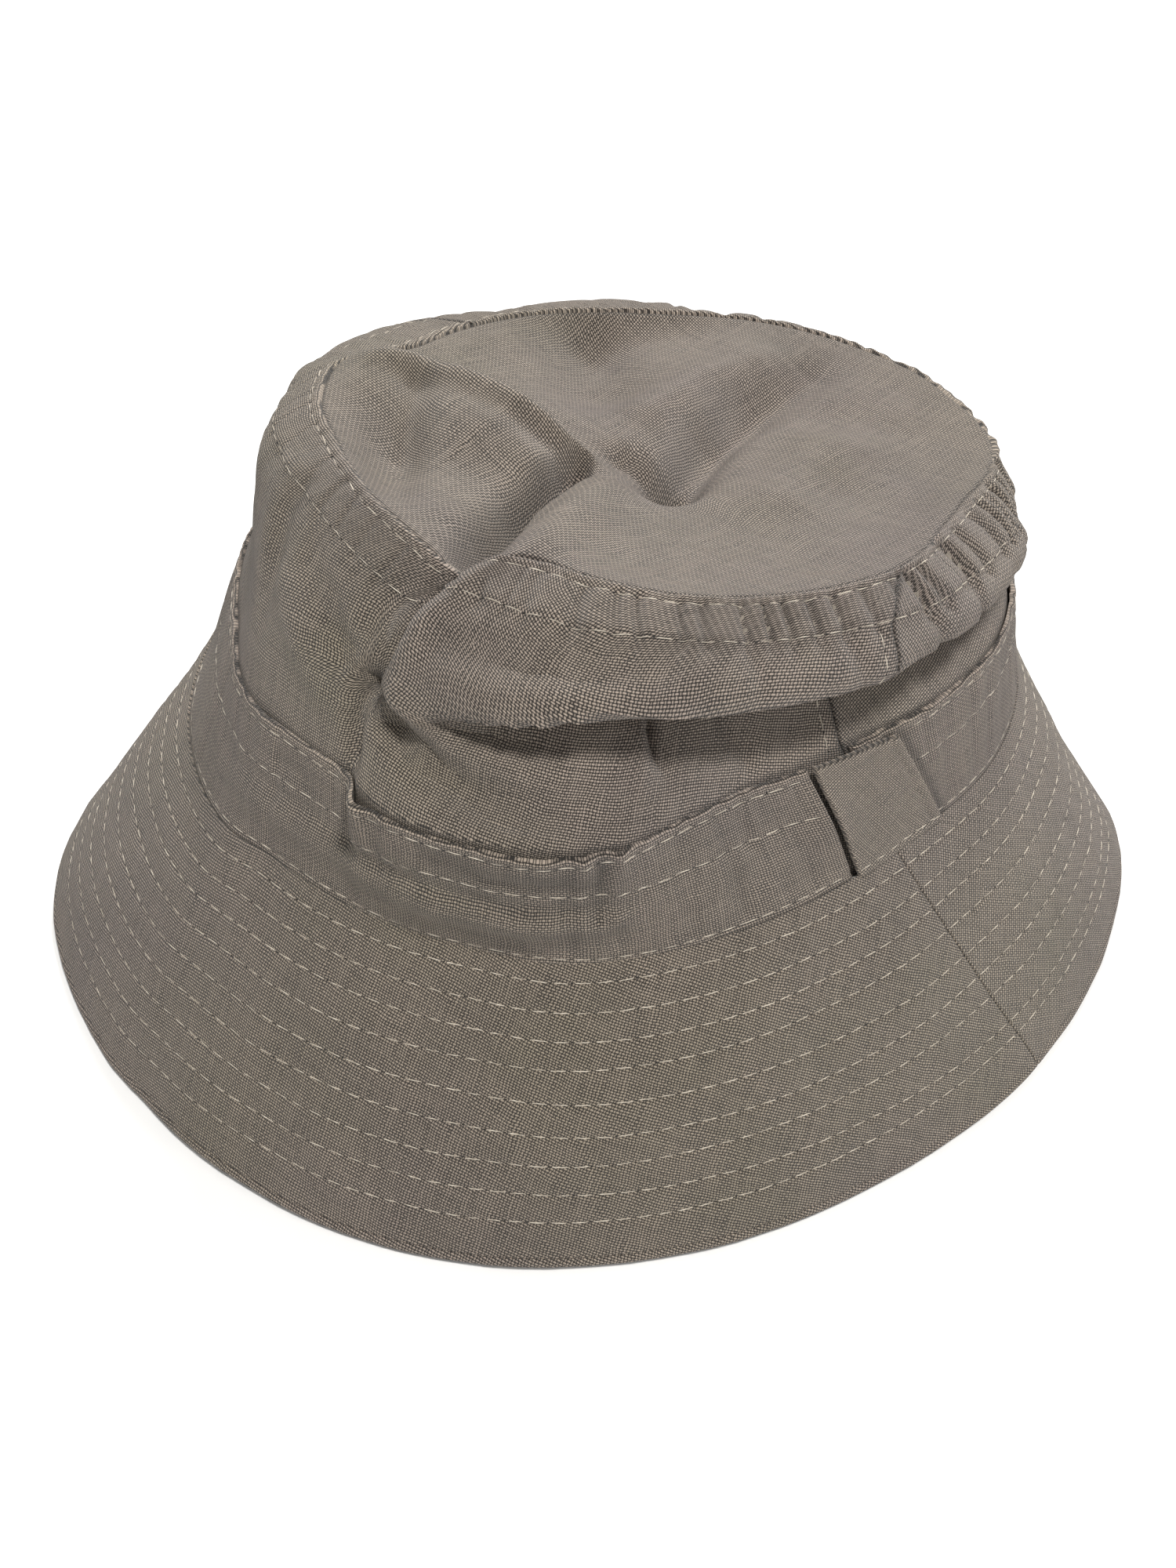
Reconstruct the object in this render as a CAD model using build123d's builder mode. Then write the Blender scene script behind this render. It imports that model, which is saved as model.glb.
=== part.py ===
"""A woven canvas bucket hat, cut and sewn as a real one is.

The hat stands on the edge of its brim. +Z is up, and the origin is on the surface under the
middle of the hat. +Y and -Y are the back and the front of the head, so Y is the long way of the
oval, and the two side seams are on +X and -X. Every profile is drawn in the XZ plane as half of
a section, with radii measured along Y; each ring is revolved round Z and then narrowed along X
by OVAL, which turns its circles into the oval of a head. Lengths are millimetres.
"""

from math import asin, atan2, cos, degrees, hypot, radians, sin, sqrt, tan
import os

from build123d import *

# The oval and the main heights.
OVAL = 0.917  # width over length
SEAM_R = 96.0  # outside of the crown at the brim seam
SEAM_Z = 50.0  # height of the brim seam above the brim's edge
BRIM_R = 134.0  # brim's edge
BRIM_SAG = 2.0  # how far the brim swells above a straight cone
TIP_R = 71.5  # seam between the crown's side and its tip
TIP_Z = 116.0
TIP_DISH = 8.0  # how far the middle of the tip hangs below its seam
WALL_LEAN = 5.0  # degrees that the crown's side leans in
SHOULDER_END = 70.0  # degrees that the shoulder has turned by at the tip seam

# Cloth, tape and thread.
CANVAS = 0.6
INTERLINING = 0.5
TAPE = 0.5
DOUBLED = 1.2  # canvas folded on itself: the band and the tab
SWEATBAND = 1.0
THREAD_R = 0.18
THREAD_BURY = 0.10  # how deep a thread is pulled into the cloth

# Trims.
BAND_HEIGHT = 32.0
BAND_GAP = 0.8  # between the band's two ends, under the tab
TAB_WIDTH = 25.0
SWEATBAND_HEIGHT = 30.0
TIP_TAPE_WIDTH = 14.0
SIDE_TAPE_WIDTH = 16.0
EDGE_TURN = 1.5  # height of the turned edge of the brim's top cloth
EDGE_TRIM = 1.0  # cut off the turned edge to leave it flat where the hat stands on it

# Rows of stitches.
TIP_ROWS = {"tip_edge_stitching": 2.0, "tip_tape_stitching": 11.5}  # below the tip seam
BAND_ROWS = {  # below the band's top edge
    "band_top_stitching": 2.5,
    "band_middle_stitching": 11.5,
    "band_bottom_stitching": BAND_HEIGHT - 2.5,
}
BRIM_ROW_COUNT = 9
BRIM_FIRST_ROW = 4.2  # along the brim from its seam
BRIM_ROW_PITCH = 6.1
SIDE_STITCH_OFFSET = 3.0  # each side of a side seam

BIG = 400.0  # larger than the hat

# The crown's side: a straight wall, then a round shoulder that meets it smoothly.
LEAN = radians(WALL_LEAN)
TURN = radians(SHOULDER_END)
SHOULDER_R = (
    (SEAM_R - TIP_R) * cos(LEAN) + (SEAM_Z - TIP_Z) * sin(LEAN)
) / (1 - cos(TURN - LEAN))
SHOULDER_CENTRE = (TIP_R - SHOULDER_R * cos(TURN), TIP_Z - SHOULDER_R * sin(TURN))

# The brim: an arc from its seam to its edge.
BRIM_SPAN = hypot(BRIM_R - SEAM_R, SEAM_Z)
BRIM_ARC_R = BRIM_SPAN**2 / (8 * BRIM_SAG) + BRIM_SAG / 2
BRIM_CENTRE = (
    (SEAM_R + BRIM_R) / 2 - (BRIM_ARC_R - BRIM_SAG) * SEAM_Z / BRIM_SPAN,
    SEAM_Z / 2 - (BRIM_ARC_R - BRIM_SAG) * (BRIM_R - SEAM_R) / BRIM_SPAN,
)
BRIM_START = atan2(SEAM_Z - BRIM_CENTRE[1], SEAM_R - BRIM_CENTRE[0])
BRIM_CLOTH = 2 * CANVAS + INTERLINING


def wall_at(z, depth):
    """The point at height z, depth inside the outer face of the crown's straight wall."""
    return (SEAM_R - (z - SEAM_Z) * tan(LEAN) - depth / cos(LEAN), z)


def shoulder_at(turn, depth):
    """The point of the shoulder that has turned by this angle, in radians."""
    reach = SHOULDER_R - depth
    return (SHOULDER_CENTRE[0] + reach * cos(turn), SHOULDER_CENTRE[1] + reach * sin(turn))


def brim_at_height(z, depth):
    """The point at height z, depth below the top face of the brim."""
    rise = (z - BRIM_CENTRE[1]) / (BRIM_ARC_R - depth)
    return (BRIM_CENTRE[0] + (BRIM_ARC_R - depth) * cos(asin(rise)), z)


def brim_along(run, depth):
    """The point this far along the brim from its seam."""
    angle = BRIM_START - run / BRIM_ARC_R
    reach = BRIM_ARC_R - depth
    return (BRIM_CENTRE[0] + reach * cos(angle), BRIM_CENTRE[1] + reach * sin(angle))


def brim_arc(low, high, depth):
    """A curve of the brim between two heights."""
    middle = (low + high) / 2
    return ThreePointArc(
        brim_at_height(low, depth), brim_at_height(middle, depth), brim_at_height(high, depth)
    )


def shoulder_turn(below_seam):
    """The shoulder's angle at this distance down from the tip seam, in radians."""
    return TURN - below_seam / SHOULDER_R


def shoulder_arc(start, end, depth):
    """A curve of the shoulder between two angles."""
    return CenterArc(
        SHOULDER_CENTRE, SHOULDER_R - depth, degrees(start), degrees(end - start)
    )


def wall_band(low, high, outer, inner):
    """Section of a strip on the straight wall, between two heights and two depths."""
    with BuildSketch(Plane.XZ) as section:
        with BuildLine():
            Polyline(
                wall_at(low, outer),
                wall_at(high, outer),
                wall_at(high, inner),
                wall_at(low, inner),
                close=True,
            )
        make_face()
    return section.sketch


def side_section(low, end, outer, inner):
    """Section of a cloth that runs from height low up the wall and round to the angle end."""
    with BuildSketch(Plane.XZ) as section:
        with BuildLine():
            for depth in (outer, inner):
                Line(wall_at(low, depth), shoulder_at(LEAN, depth))
                shoulder_arc(LEAN, end, depth)
            Line(wall_at(low, outer), wall_at(low, inner))
            Line(shoulder_at(end, outer), shoulder_at(end, inner))
        make_face()
    return section.sketch


def brim_section(low, high, outer, inner):
    """Section of one cloth of the brim, between two heights and two depths."""
    with BuildSketch(Plane.XZ) as section:
        with BuildLine():
            brim_arc(low, high, outer)
            brim_arc(low, high, inner)
            Line(brim_at_height(low, outer), brim_at_height(low, inner))
            Line(brim_at_height(high, outer), brim_at_height(high, inner))
        make_face()
    return section.sketch


def oval_ring(section):
    """The section revolved round Z into the oval of the head."""
    with BuildPart() as ring:
        revolve(section, axis=Axis.Z)
        scale(by=(OVAL, 1, 1))
    return ring.part


def half(ring, keep):
    """One half of an oval ring, cut where the side seams are."""
    with BuildPart() as panel:
        add(ring)
        split(bisect_by=Plane.XZ, keep=keep)
    return panel.part


def standing(ring):
    """The part of a ring that is above the surface the hat stands on, with a flat foot."""
    with BuildPart() as cut:
        add(ring)
        split(bisect_by=Plane.XY, keep=Keep.TOP)
    return cut.part


def between_planes(ring, side, width):
    """The stretch of a ring on the +X or -X side, this wide along Y."""
    with BuildPart() as strip:
        add(ring)
        with Locations((side * BIG / 2, 0, 0)):
            Box(BIG, width, BIG, mode=Mode.INTERSECT)
    return strip.part


def thread_loop(point):
    """A thread sewn right round the hat through a point of the section, squared off."""
    radius, height = point
    with BuildPart() as loop:
        with BuildSketch(Plane.XY.offset(height - THREAD_R)):
            Ellipse(OVAL * radius + THREAD_R, radius + THREAD_R)
            Ellipse(OVAL * radius - THREAD_R, radius - THREAD_R, mode=Mode.SUBTRACT)
        extrude(amount=2 * THREAD_R)
    return loop.part


def save(solids, name):
    """Writes one named piece, which may be several solids."""
    piece = solids[0] if len(solids) == 1 else Compound(children=solids)
    piece.label = name
    export_step(piece, f"parts/{name}.step")


def crown_panels():
    """The front and the back of the crown's side, which meet at the two side seams."""
    side = oval_ring(side_section(SEAM_Z, TURN, 0, CANVAS))
    save([half(side, Keep.TOP)], "crown_side_front")
    save([half(side, Keep.BOTTOM)], "crown_side_back")


def crown_tip():
    """The oval top, which hangs a little in its middle."""
    with BuildSketch(Plane.XZ) as section:
        with BuildLine():
            for depth in (0, CANVAS):
                edge = shoulder_at(TURN, depth)
                middle = TIP_Z - TIP_DISH - depth
                drop = edge[1] - middle
                dish_r = (edge[0] ** 2 + drop**2) / (2 * drop)
                spread = degrees(asin(edge[0] / dish_r))
                CenterArc((0, middle + dish_r), dish_r, -90, spread)
            Line((0, TIP_Z - TIP_DISH), (0, TIP_Z - TIP_DISH - CANVAS))
            Line(shoulder_at(TURN, 0), shoulder_at(TURN, CANVAS))
        make_face()
    save([oval_ring(section.sketch)], "crown_tip")


def seam_tapes():
    """The tapes that cover the raw edges of the tip seam and of the side seams, inside."""
    tape_end = shoulder_turn(TIP_TAPE_WIDTH)
    with BuildSketch(Plane.XZ) as section:
        with BuildLine():
            shoulder_arc(tape_end, TURN, CANVAS)
            shoulder_arc(tape_end, TURN, CANVAS + TAPE)
            Line(shoulder_at(tape_end, CANVAS), shoulder_at(tape_end, CANVAS + TAPE))
            Line(shoulder_at(TURN, CANVAS), shoulder_at(TURN, CANVAS + TAPE))
        make_face()
    save([oval_ring(section.sketch)], "tip_seam_tape")
    lining = oval_ring(side_section(SEAM_Z, tape_end, CANVAS, CANVAS + TAPE))
    for name, side in (("left", -1), ("right", 1)):
        save([between_planes(lining, side, SIDE_TAPE_WIDTH)], f"side_seam_tape_{name}")


def hat_band():
    """The doubled band round the crown's foot; its ends meet under the tab."""
    foot = brim_at_height(SEAM_Z - DOUBLED, 0)
    top = SEAM_Z + BAND_HEIGHT
    with BuildPart() as band:
        with BuildSketch(Plane.XZ) as section:
            with BuildLine():
                brim_arc(SEAM_Z - DOUBLED, SEAM_Z, 0)
                Polyline(foot, wall_at(top, -DOUBLED), wall_at(top, 0), wall_at(SEAM_Z, 0))
            make_face()
        revolve(axis=Axis.Z)
        scale(by=(OVAL, 1, 1))
        with Locations((BIG / 2, 0, 0)):
            Box(BIG, BAND_GAP, BIG, mode=Mode.SUBTRACT)
    save([band.part], "hat_band")


def band_tab():
    """The doubled tab that covers the band's ends and hooks over the band's top edge."""
    foot = brim_at_height(SEAM_Z - DOUBLED, 0)
    lower_foot = brim_at_height(SEAM_Z - 2 * DOUBLED, 0)
    top = SEAM_Z + BAND_HEIGHT
    with BuildPart() as tab:
        with BuildSketch(Plane.XZ) as section:
            with BuildLine():
                brim_arc(SEAM_Z - 2 * DOUBLED, SEAM_Z - DOUBLED, 0)
                Polyline(
                    lower_foot,
                    wall_at(top + DOUBLED, -2 * DOUBLED),
                    wall_at(top + DOUBLED, 0),
                    wall_at(top, 0),
                    wall_at(top, -DOUBLED),
                    foot,
                )
            make_face()
        revolve(axis=Axis.Z)
        scale(by=(OVAL, 1, 1))
        with Locations((BIG / 2, 0, 0)):
            Box(BIG, TAB_WIDTH, BIG, mode=Mode.INTERSECT)
        top_outer_edge = tab.edges().group_by(Axis.Z)[-1].sort_by(Axis.X)[-1]
        fillet(top_outer_edge, DOUBLED / 2)
    save([tab.part], "band_tab")


def sweatband():
    """The doubled strip that touches the head, sewn in at the brim seam."""
    outer = CANVAS + TAPE
    section = wall_band(SEAM_Z, SEAM_Z + SWEATBAND_HEIGHT, outer, outer + SWEATBAND)
    save([oval_ring(section)], "sweatband")


def brim_panels():
    """The brim's top cloth, interlining and under cloth, each in a front and a back half."""
    with BuildSketch(Plane.XZ) as top_section:
        with BuildLine():
            brim_arc(-EDGE_TRIM, SEAM_Z, 0)
            brim_arc(EDGE_TURN, SEAM_Z, CANVAS)
            Line(brim_at_height(SEAM_Z, 0), brim_at_height(SEAM_Z, CANVAS))
            Line(brim_at_height(EDGE_TURN, CANVAS), brim_at_height(EDGE_TURN, BRIM_CLOTH))
            Line(brim_at_height(EDGE_TURN, BRIM_CLOTH), brim_at_height(-EDGE_TRIM, BRIM_CLOTH))
            Line(brim_at_height(-EDGE_TRIM, BRIM_CLOTH), brim_at_height(-EDGE_TRIM, 0))
        make_face()
    under = CANVAS + INTERLINING
    cloths = {
        "brim_top": top_section.sketch,
        "brim_interlining": brim_section(EDGE_TURN, SEAM_Z, CANVAS, under),
        "brim_under": brim_section(EDGE_TURN, SEAM_Z, under, BRIM_CLOTH),
    }
    for name, section in cloths.items():
        ring = standing(oval_ring(section))
        save([half(ring, Keep.TOP)], f"{name}_front")
        save([half(ring, Keep.BOTTOM)], f"{name}_back")


def crown_stitching():
    """The rows round the tip seam: a needle thread outside and a bobbin thread inside."""
    lift = THREAD_R - THREAD_BURY
    for name, below in TIP_ROWS.items():
        turn = shoulder_turn(below)
        needle = thread_loop(shoulder_at(turn, -lift))
        bobbin = thread_loop(shoulder_at(turn, CANVAS + TAPE + lift))
        save([needle, bobbin], name)


def band_stitching():
    """The rows that hold the band to the crown."""
    lift = THREAD_R - THREAD_BURY
    for name, below in BAND_ROWS.items():
        z = SEAM_Z + BAND_HEIGHT - below
        needle = thread_loop(wall_at(z, -DOUBLED - lift))
        bobbin = thread_loop(wall_at(z, CANVAS + lift))
        save([needle, bobbin], name)


def brim_stitching():
    """The rows that quilt the brim, each on its top and on its underside."""
    lift = THREAD_R - THREAD_BURY
    for row in range(BRIM_ROW_COUNT):
        run = BRIM_FIRST_ROW + row * BRIM_ROW_PITCH
        needle = thread_loop(brim_along(run, -lift))
        bobbin = thread_loop(brim_along(run, BRIM_CLOTH + lift))
        save([needle, bobbin], f"brim_stitching_row_{row + 1}")


def side_seam_stitching():
    """The two rows beside each side seam, from the band's top up to the tip's stitching."""
    lift = THREAD_R - THREAD_BURY
    low = SEAM_Z + BAND_HEIGHT + DOUBLED
    end = shoulder_turn(max(TIP_ROWS.values()) + 1.0)
    for name, side in (("left", -1), ("right", 1)):
        rows = []
        for offset in (-SIDE_STITCH_OFFSET, SIDE_STITCH_OFFSET):
            squash = sqrt(1 - (offset / SEAM_R) ** 2)
            with BuildPart() as row:
                with BuildLine(Plane((0, offset, 0), x_dir=(1, 0, 0), z_dir=(0, -1, 0))) as path:
                    Line(wall_at(low, -lift), shoulder_at(LEAN, -lift))
                    shoulder_arc(LEAN, end, -lift)
                with BuildSketch(path.line ^ 0):
                    Rectangle(2 * THREAD_R, 2 * THREAD_R)
                sweep(path=path.line)
                scale(by=(side * OVAL * squash, 1, 1))
            rows.append(row.part)
        save(rows, f"side_seam_stitching_{name}")


os.makedirs("parts", exist_ok=True)
crown_tip()
crown_panels()
seam_tapes()
hat_band()
band_tab()
sweatband()
brim_panels()
crown_stitching()
band_stitching()
brim_stitching()
side_seam_stitching()
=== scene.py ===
"""The looks of the canvas bucket hat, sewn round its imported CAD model.

The crown has slumped: its tip is creased at the front, its side bulges over the band, and the
band stands a little askew. Every cloth is a thin closed sheet of its own, sampled from one master
shape. Angles are degrees of the oval's parameter, 0 on +X and -90 at the front of the head, and
the master shape is in millimetres; meshes are made in metres.
"""

import math

import bpy
import numpy as np
from mathutils import Matrix, Vector


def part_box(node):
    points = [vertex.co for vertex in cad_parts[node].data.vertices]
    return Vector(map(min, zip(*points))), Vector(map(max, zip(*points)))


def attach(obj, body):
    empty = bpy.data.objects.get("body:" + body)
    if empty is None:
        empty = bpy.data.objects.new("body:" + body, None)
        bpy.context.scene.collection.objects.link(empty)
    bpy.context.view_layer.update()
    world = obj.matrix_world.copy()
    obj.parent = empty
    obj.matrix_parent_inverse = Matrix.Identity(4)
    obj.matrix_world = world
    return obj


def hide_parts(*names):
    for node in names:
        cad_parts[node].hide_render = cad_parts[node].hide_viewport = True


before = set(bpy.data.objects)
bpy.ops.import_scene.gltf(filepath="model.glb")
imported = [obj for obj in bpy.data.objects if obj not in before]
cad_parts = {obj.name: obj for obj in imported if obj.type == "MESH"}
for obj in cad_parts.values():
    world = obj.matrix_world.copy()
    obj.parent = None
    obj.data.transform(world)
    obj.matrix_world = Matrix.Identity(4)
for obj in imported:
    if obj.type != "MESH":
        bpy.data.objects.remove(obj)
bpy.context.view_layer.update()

METRES = 0.001
SHARP_ANGLE = 62.0  # degrees between faces, above which an edge is shaded as sharp


def box_mm(node):
    """The lowest and highest corner of a CAD node, in millimetres."""
    low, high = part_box(node)
    return np.array(low) / METRES, np.array(high) / METRES


# ---------------------------------------------------------------- sizes, from the frame
BRIM_R = box_mm("brim_top_back")[1][1]
OVAL = box_mm("brim_top_back")[1][0] / BRIM_R
SEAM_R = box_mm("crown_side_back")[1][1]
SEAM_Z = box_mm("sweatband")[0][2]
BAND_HEIGHT = box_mm("hat_band")[1][2] - SEAM_Z
TIP_Z = box_mm("crown_side_back")[1][2]
BRIM_ROW_COUNT = sum(name.startswith("brim_stitching_row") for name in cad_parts)

# ---------------------------------------------------------------- cloth and thread
CANVAS = 0.6
TAPE = 0.5
DOUBLED = 1.2
SWEATBAND = 1.0
INTERLINING_MM = 0.5
BRIM_CLOTH = 2 * CANVAS + INTERLINING_MM
EDGE_TURN = 1.6  # how much of the brim's underside its turned top cloth covers
EDGE_LIFT = 0.6  # the middle of the brim's thickness, above the surface it rests on
SWEATBAND_HEIGHT = 30.0
TIP_TAPE = 14.0
SIDE_TAPE = 16.0
SIDE_STITCH = 3.0  # in front of a side seam
THREAD_R = 0.12
STITCH = 4.15
BRIM_FIRST_ROW = 4.2
BRIM_ROW_PITCH = 6.1
ROW_SHIFT = {1: -.3, 2: -.9, 3: -1.0, 4: -.3}  # rows of the brim sewn nearer to its seam
TIP_ROWS = {"tip_edge_stitching": 2.2, "tip_tape_stitching": 11.5}  # below the tip seam
BAND_ROWS = {  # below the band's top edge
    "band_top_stitching": 2.0, "band_middle_stitching": 11.5, "band_bottom_stitching": 29.8,
}
ROW_GROOVE = 0.55  # the reach of the groove that a row of stitches pulls into the cloth
LAYER_GAP = 0.02  # between two cloths that lie against each other

# ---------------------------------------------------------------- the slumped shape, by angle
# The brim: how much its edge is drawn in, how high its seam rides, and how far it swells.
EDGE_IN = {
    -176: 10, -168: 15, -160: 18.5, -155: 17, -148: 11, -142: 6, -135: 2.4, -128: .4, -120: 0,
    -110: .3, -100: .7, -92: 2.0, -80: 1.9, -68: .4, -60: 0, -50: .3, -35: 1.0, -15: 2.2, 0: 1.5,
    15: 1, 30: 1.5, 37: 3, 46: 8.5, 54: 15, 62: 18.5, 70: 17, 80: 12, 95: 6, 120: 3, 150: 3.5,
    172: 6,
}
SEAM_RISE = {
    -130: -.5, -101: -.5, -90: .3, -50: -.4, -3: .8, 18: 0, 32: -.5, 45: -1.5, 60: -2.5,
    90: -3, 180: -3, -155: -2,
}
SEAM_OUT = {
    -160: -2, -140: -2.5, -128: -1, -121: 0, -101: 1.2, -90: -1.2, -62: -.5, -49: 1.6,
    -32: -.3, -11: -2.2, -3: -2.6, 18: .3, 30: .9, 90: 0, 180: 0,
}
BRIM_SWELL = {
    -168: -1, -155: -3, -142: -1, -130: 1, -110: 2, -60: 2, 20: 2, 40: 0, 60: -3, 75: -2,
    95: 1, 170: 1,
}
# The band's top edge: its oval radius, and how far it has twisted round the hat.
BAND_TOP_R = {
    -160: 84, -140: 81.5, -120: 82.5, -99: 88.2, -84: 89.3, -78: 90.5, -75: 94.5, -69: 97.8,
    -59: 99.8, -51: 100.6, -41: 98.8, -34: 94.5, -30: 91.6, -17: 86.2, -3: 85.9, 7: 88.7,
    20: 92, 40: 89, 90: 87, 140: 86,
}
TWIST = {-60: 0, -30: -5, -10: -8, 5: -6, 30: 0, 180: 0}
# The crown's side above the band: (oval radius, height) of the valley under its bulge, of the
# bulge and of the shoulder over it.
SIDE = {
    -160: ((78.5, 92), (73.5, 103), (69, 112)),
    -140: ((76, 93), (73.5, 104), (71, 114)),
    -120: ((78, 94), (76.2, 106), (72.6, 116)),
    -100: ((84, 93), (78.5, 106), (71, 116)),
    -86: ((85, 94.5), (80.5, 104.5), (73.5, 113)),
    -76.5: ((86, 96.5), (80, 103), (73, 110)),
    -71: ((87.5, 96), (85, 105), (77, 113.8)),
    -66: ((86.5, 96), (88, 102.5), (79, 114)),
    -58: ((82, 98), (89.5, 103), (81.5, 113.5)),
    -45: ((78, 100.5), (90.3, 105.8), (83, 113.8)),
    -30: ((76, 98.8), (90.3, 104), (84.5, 111.5)),
    -12: ((77, 96), (91.5, 101.5), (86, 109)),
    5: ((79, 94), (92.8, 100), (87, 107)),
    25: ((83, 90.5), (92.5, 96.5), (86.5, 104)),
    50: ((84, 84), (88, 90), (83, 99)),
    90: ((82, 82), (84, 86), (78, 96)),
    140: ((80, 84), (80, 89), (73, 99)),
    180: ((80, 88), (76, 96), (70, 106)),
}
# The tip: its middle, how it tilts, its seam's radius and how the seam dips, and its dish.
TIP_MIDDLE = (9.0, 4.0)
TIP_NARROW = 0.928
TIP_TILT = (-0.04, -0.13)
TIP_DROP = 2.0  # the tip's plane at its middle, below the CAD tip's seam
TIP_R = {
    -142: 68.8, -127: 69, -116: 67.8, -105: 68.2, -95: 69.4, -84.8: 69.5, -76.8: 68.3, -73.3: 67.0,
    -68.5: 65.5, -64.5: 65, -60: 65.6, -43: 68.2, -21: 69.4, -6: 69.7, 3: 68.6, 12: 66.8,
    20: 66.8, 28: 68.6, 36: 71, 45: 72.5, 54: 71.5, 64: 69.5, 72: 69, 90: 66.5, 115: 63,
    140: 58.5, 165: 59, 180: 59.5, 195: 59.8, 205: 62.8,
}
TIP_DIP = {
    -130: 0, -105: 0, -93: -.8, -84.8: -3, -79.8: -5.6, -76.2: -7, -74.8: -4.6, -73.2: -1.5,
    -70: -.3, -66: 0, 0: 0, 60: -1, 90: -3, 130: -5, 170: -5, 198: -4,
}
TIP_DISH = 9.0
# Ridges and valleys: points of a line, then height and width at each point. On the tip the
# points are X and Y; on the side they are the angle and the share of the way up to the tip.
TIP_CREASE = ((6.5, -17), (8, -26), (10.5, -38), (16, -51), (23, -62))
TIP_FOLDS = [
    (TIP_CREASE, (-6, -8, -10, -11, -11), (2.4, 2.8, 3.2, 3.6, 4.0)),
    (((16, -20), (25, -40), (32, -58)), (4, 5.5, 3.5), (6.5, 6.5, 6)),
    (((-54, -40), (-38, -33), (-21, -28), (-8, -25), (2, -25)), (2, 4.5, 6, 6.5, 5),
     (10, 11, 11, 10, 7)),
    (((-46, -36), (-33, -25), (-18, -20), (-3, -16), (6, -14.5)), (2, 4.5, 6, 7, 5),
     (3.8, 3.8, 3.8, 3.4, 3.2)),
    (((-27, -30), (-16.5, -44.5), (-5, -58)), (-4.2, -6.8, -4.6), (5.5, 6.5, 6.5)),
    (((19, -3), (11, 20), (8, 38), (9, 54)), (-9, -8, -6, -3), (5.5, 5, 5.5, 6)),
    (((19, -3), (7, -5)), (-5.5, -4), (5, 4)),
    (((-20, 16), (-33, 24)), (-7, -5.5), (11, 11)),
    (((-32, 30), (-27, 47)), (-5, -4.5), (11, 11)),
    (((38, 8), (32, 32)), (3, 3.5), (9, 9)),
    (((-2, 14), (-4, 34), (-2, 46)), (3.4, 3.2, 2.4), (7, 8, 8)),
]
SIDE_MM_PER_DEG = 1.54
SIDE_MM_PER_SHARE = 46.0
PINCH = ((-76.2, 1.0), (-73.8, .78), (-73.3, .63), (-75.5, .50), (-77.8, .40))
SIDE_FOLDS = [
    (PINCH, (-5.5, -7.5, -5.0, -2.6, -5.0), (1.6, 1.6, 1.7, 1.9, 2.0)),
    (((-71.0, 1.0), (-69.6, .75), (-70.5, .56), (-73.5, .42)), (1.0, 1.6, 1.6, 1.2),
     (2.4, 2.8, 3.0, 3.0)),
    (((-77.8, .38), (-71.5, .28), (-64.5, .18), (-55.5, .13), (-50, .12)),
     (-4.6, -5.2, -4.6, -3.4, -1.6), (2.2, 2.6, 2.8, 2.8, 3)),
    (((-71, .37), (-65.2, .27), (-57, .20), (-49, .17)), (2.2, 3.2, 3.0, 1.2), (2.8, 3.0, 3.0, 3)),
    (((-78.2, .36), (-78.4, .24), (-77.6, .03)), (-3.0, -3.0, -1.8), (2.2, 2.6, 2.2)),
    (((-35.4, .31), (-34.6, .24), (-32.6, .15)), (-3.0, -2.4, -.6), (1.3, 1.4, 2.2)),
    (((-37.6, .28), (-36.6, .18)), (1.4, .7), (1.6, 2.4)),
    (((-24, .28), (-19, .10)), (-1.4, -.6), (1.6, 2.2)),
    (((-95, .64), (-88, .54), (-82, .44)), (-1.2, -2.0, -2.4), (4, 3.2, 2.4)),
    (((-98, .52), (-91, .38), (-85, .26)), (1.2, 1.6, .8), (4, 4, 4)),
    (((-67, .62), (-59, .68), (-52, .74), (-44, .74), (-37, .74)), (-1.8, -2.6, -2.6, -2.2, -.8),
     (2.6, 3, 3, 3, 3)),
    (((-66, .54), (-52, .58), (-36, .60)), (.8, 1.2, .5), (4, 4, 4)),
    (((-106, .80), (-103.2, .49), (-102, .33)), (-1.0, -1.9, -1.2), (3, 4, 4)),
    (((-112, .80), (-108, .55)), (1.0, .8), (4, 4)),
    (((-140, .70), (-128, .30)), (-1.0, -.8), (5, 6)),
    (((30, .70), (48, .30)), (-1.0, -.9), (4, 5)),
    (((80, .80), (95, .30)), (-1.2, -.9), (6, 7)),
    (((120, .70), (112, .20)), (-1.1, -.7), (6, 8)),
    (((165, .75), (158, .30)), (-1.0, -.9), (6, 8)),
]
# Folds that have closed so far that little light gets in are given painted shade too: each line
# has a painted-shade value, below 0 for darker, in place of its height.
TIP_CREASE_SHADE = [(TIP_CREASE, (-.5, -1.0, -1.3, -1.5, -1.6), (.9, 1.0, 1.0, 1.0, 1.1))]
SIDE_CREASE_SHADE = [(PINCH, (-2.6, -2.8, -2.2, -.8, -2.2), (1.1, 1.1, 1.1, 1.0, 1.5))]
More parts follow.
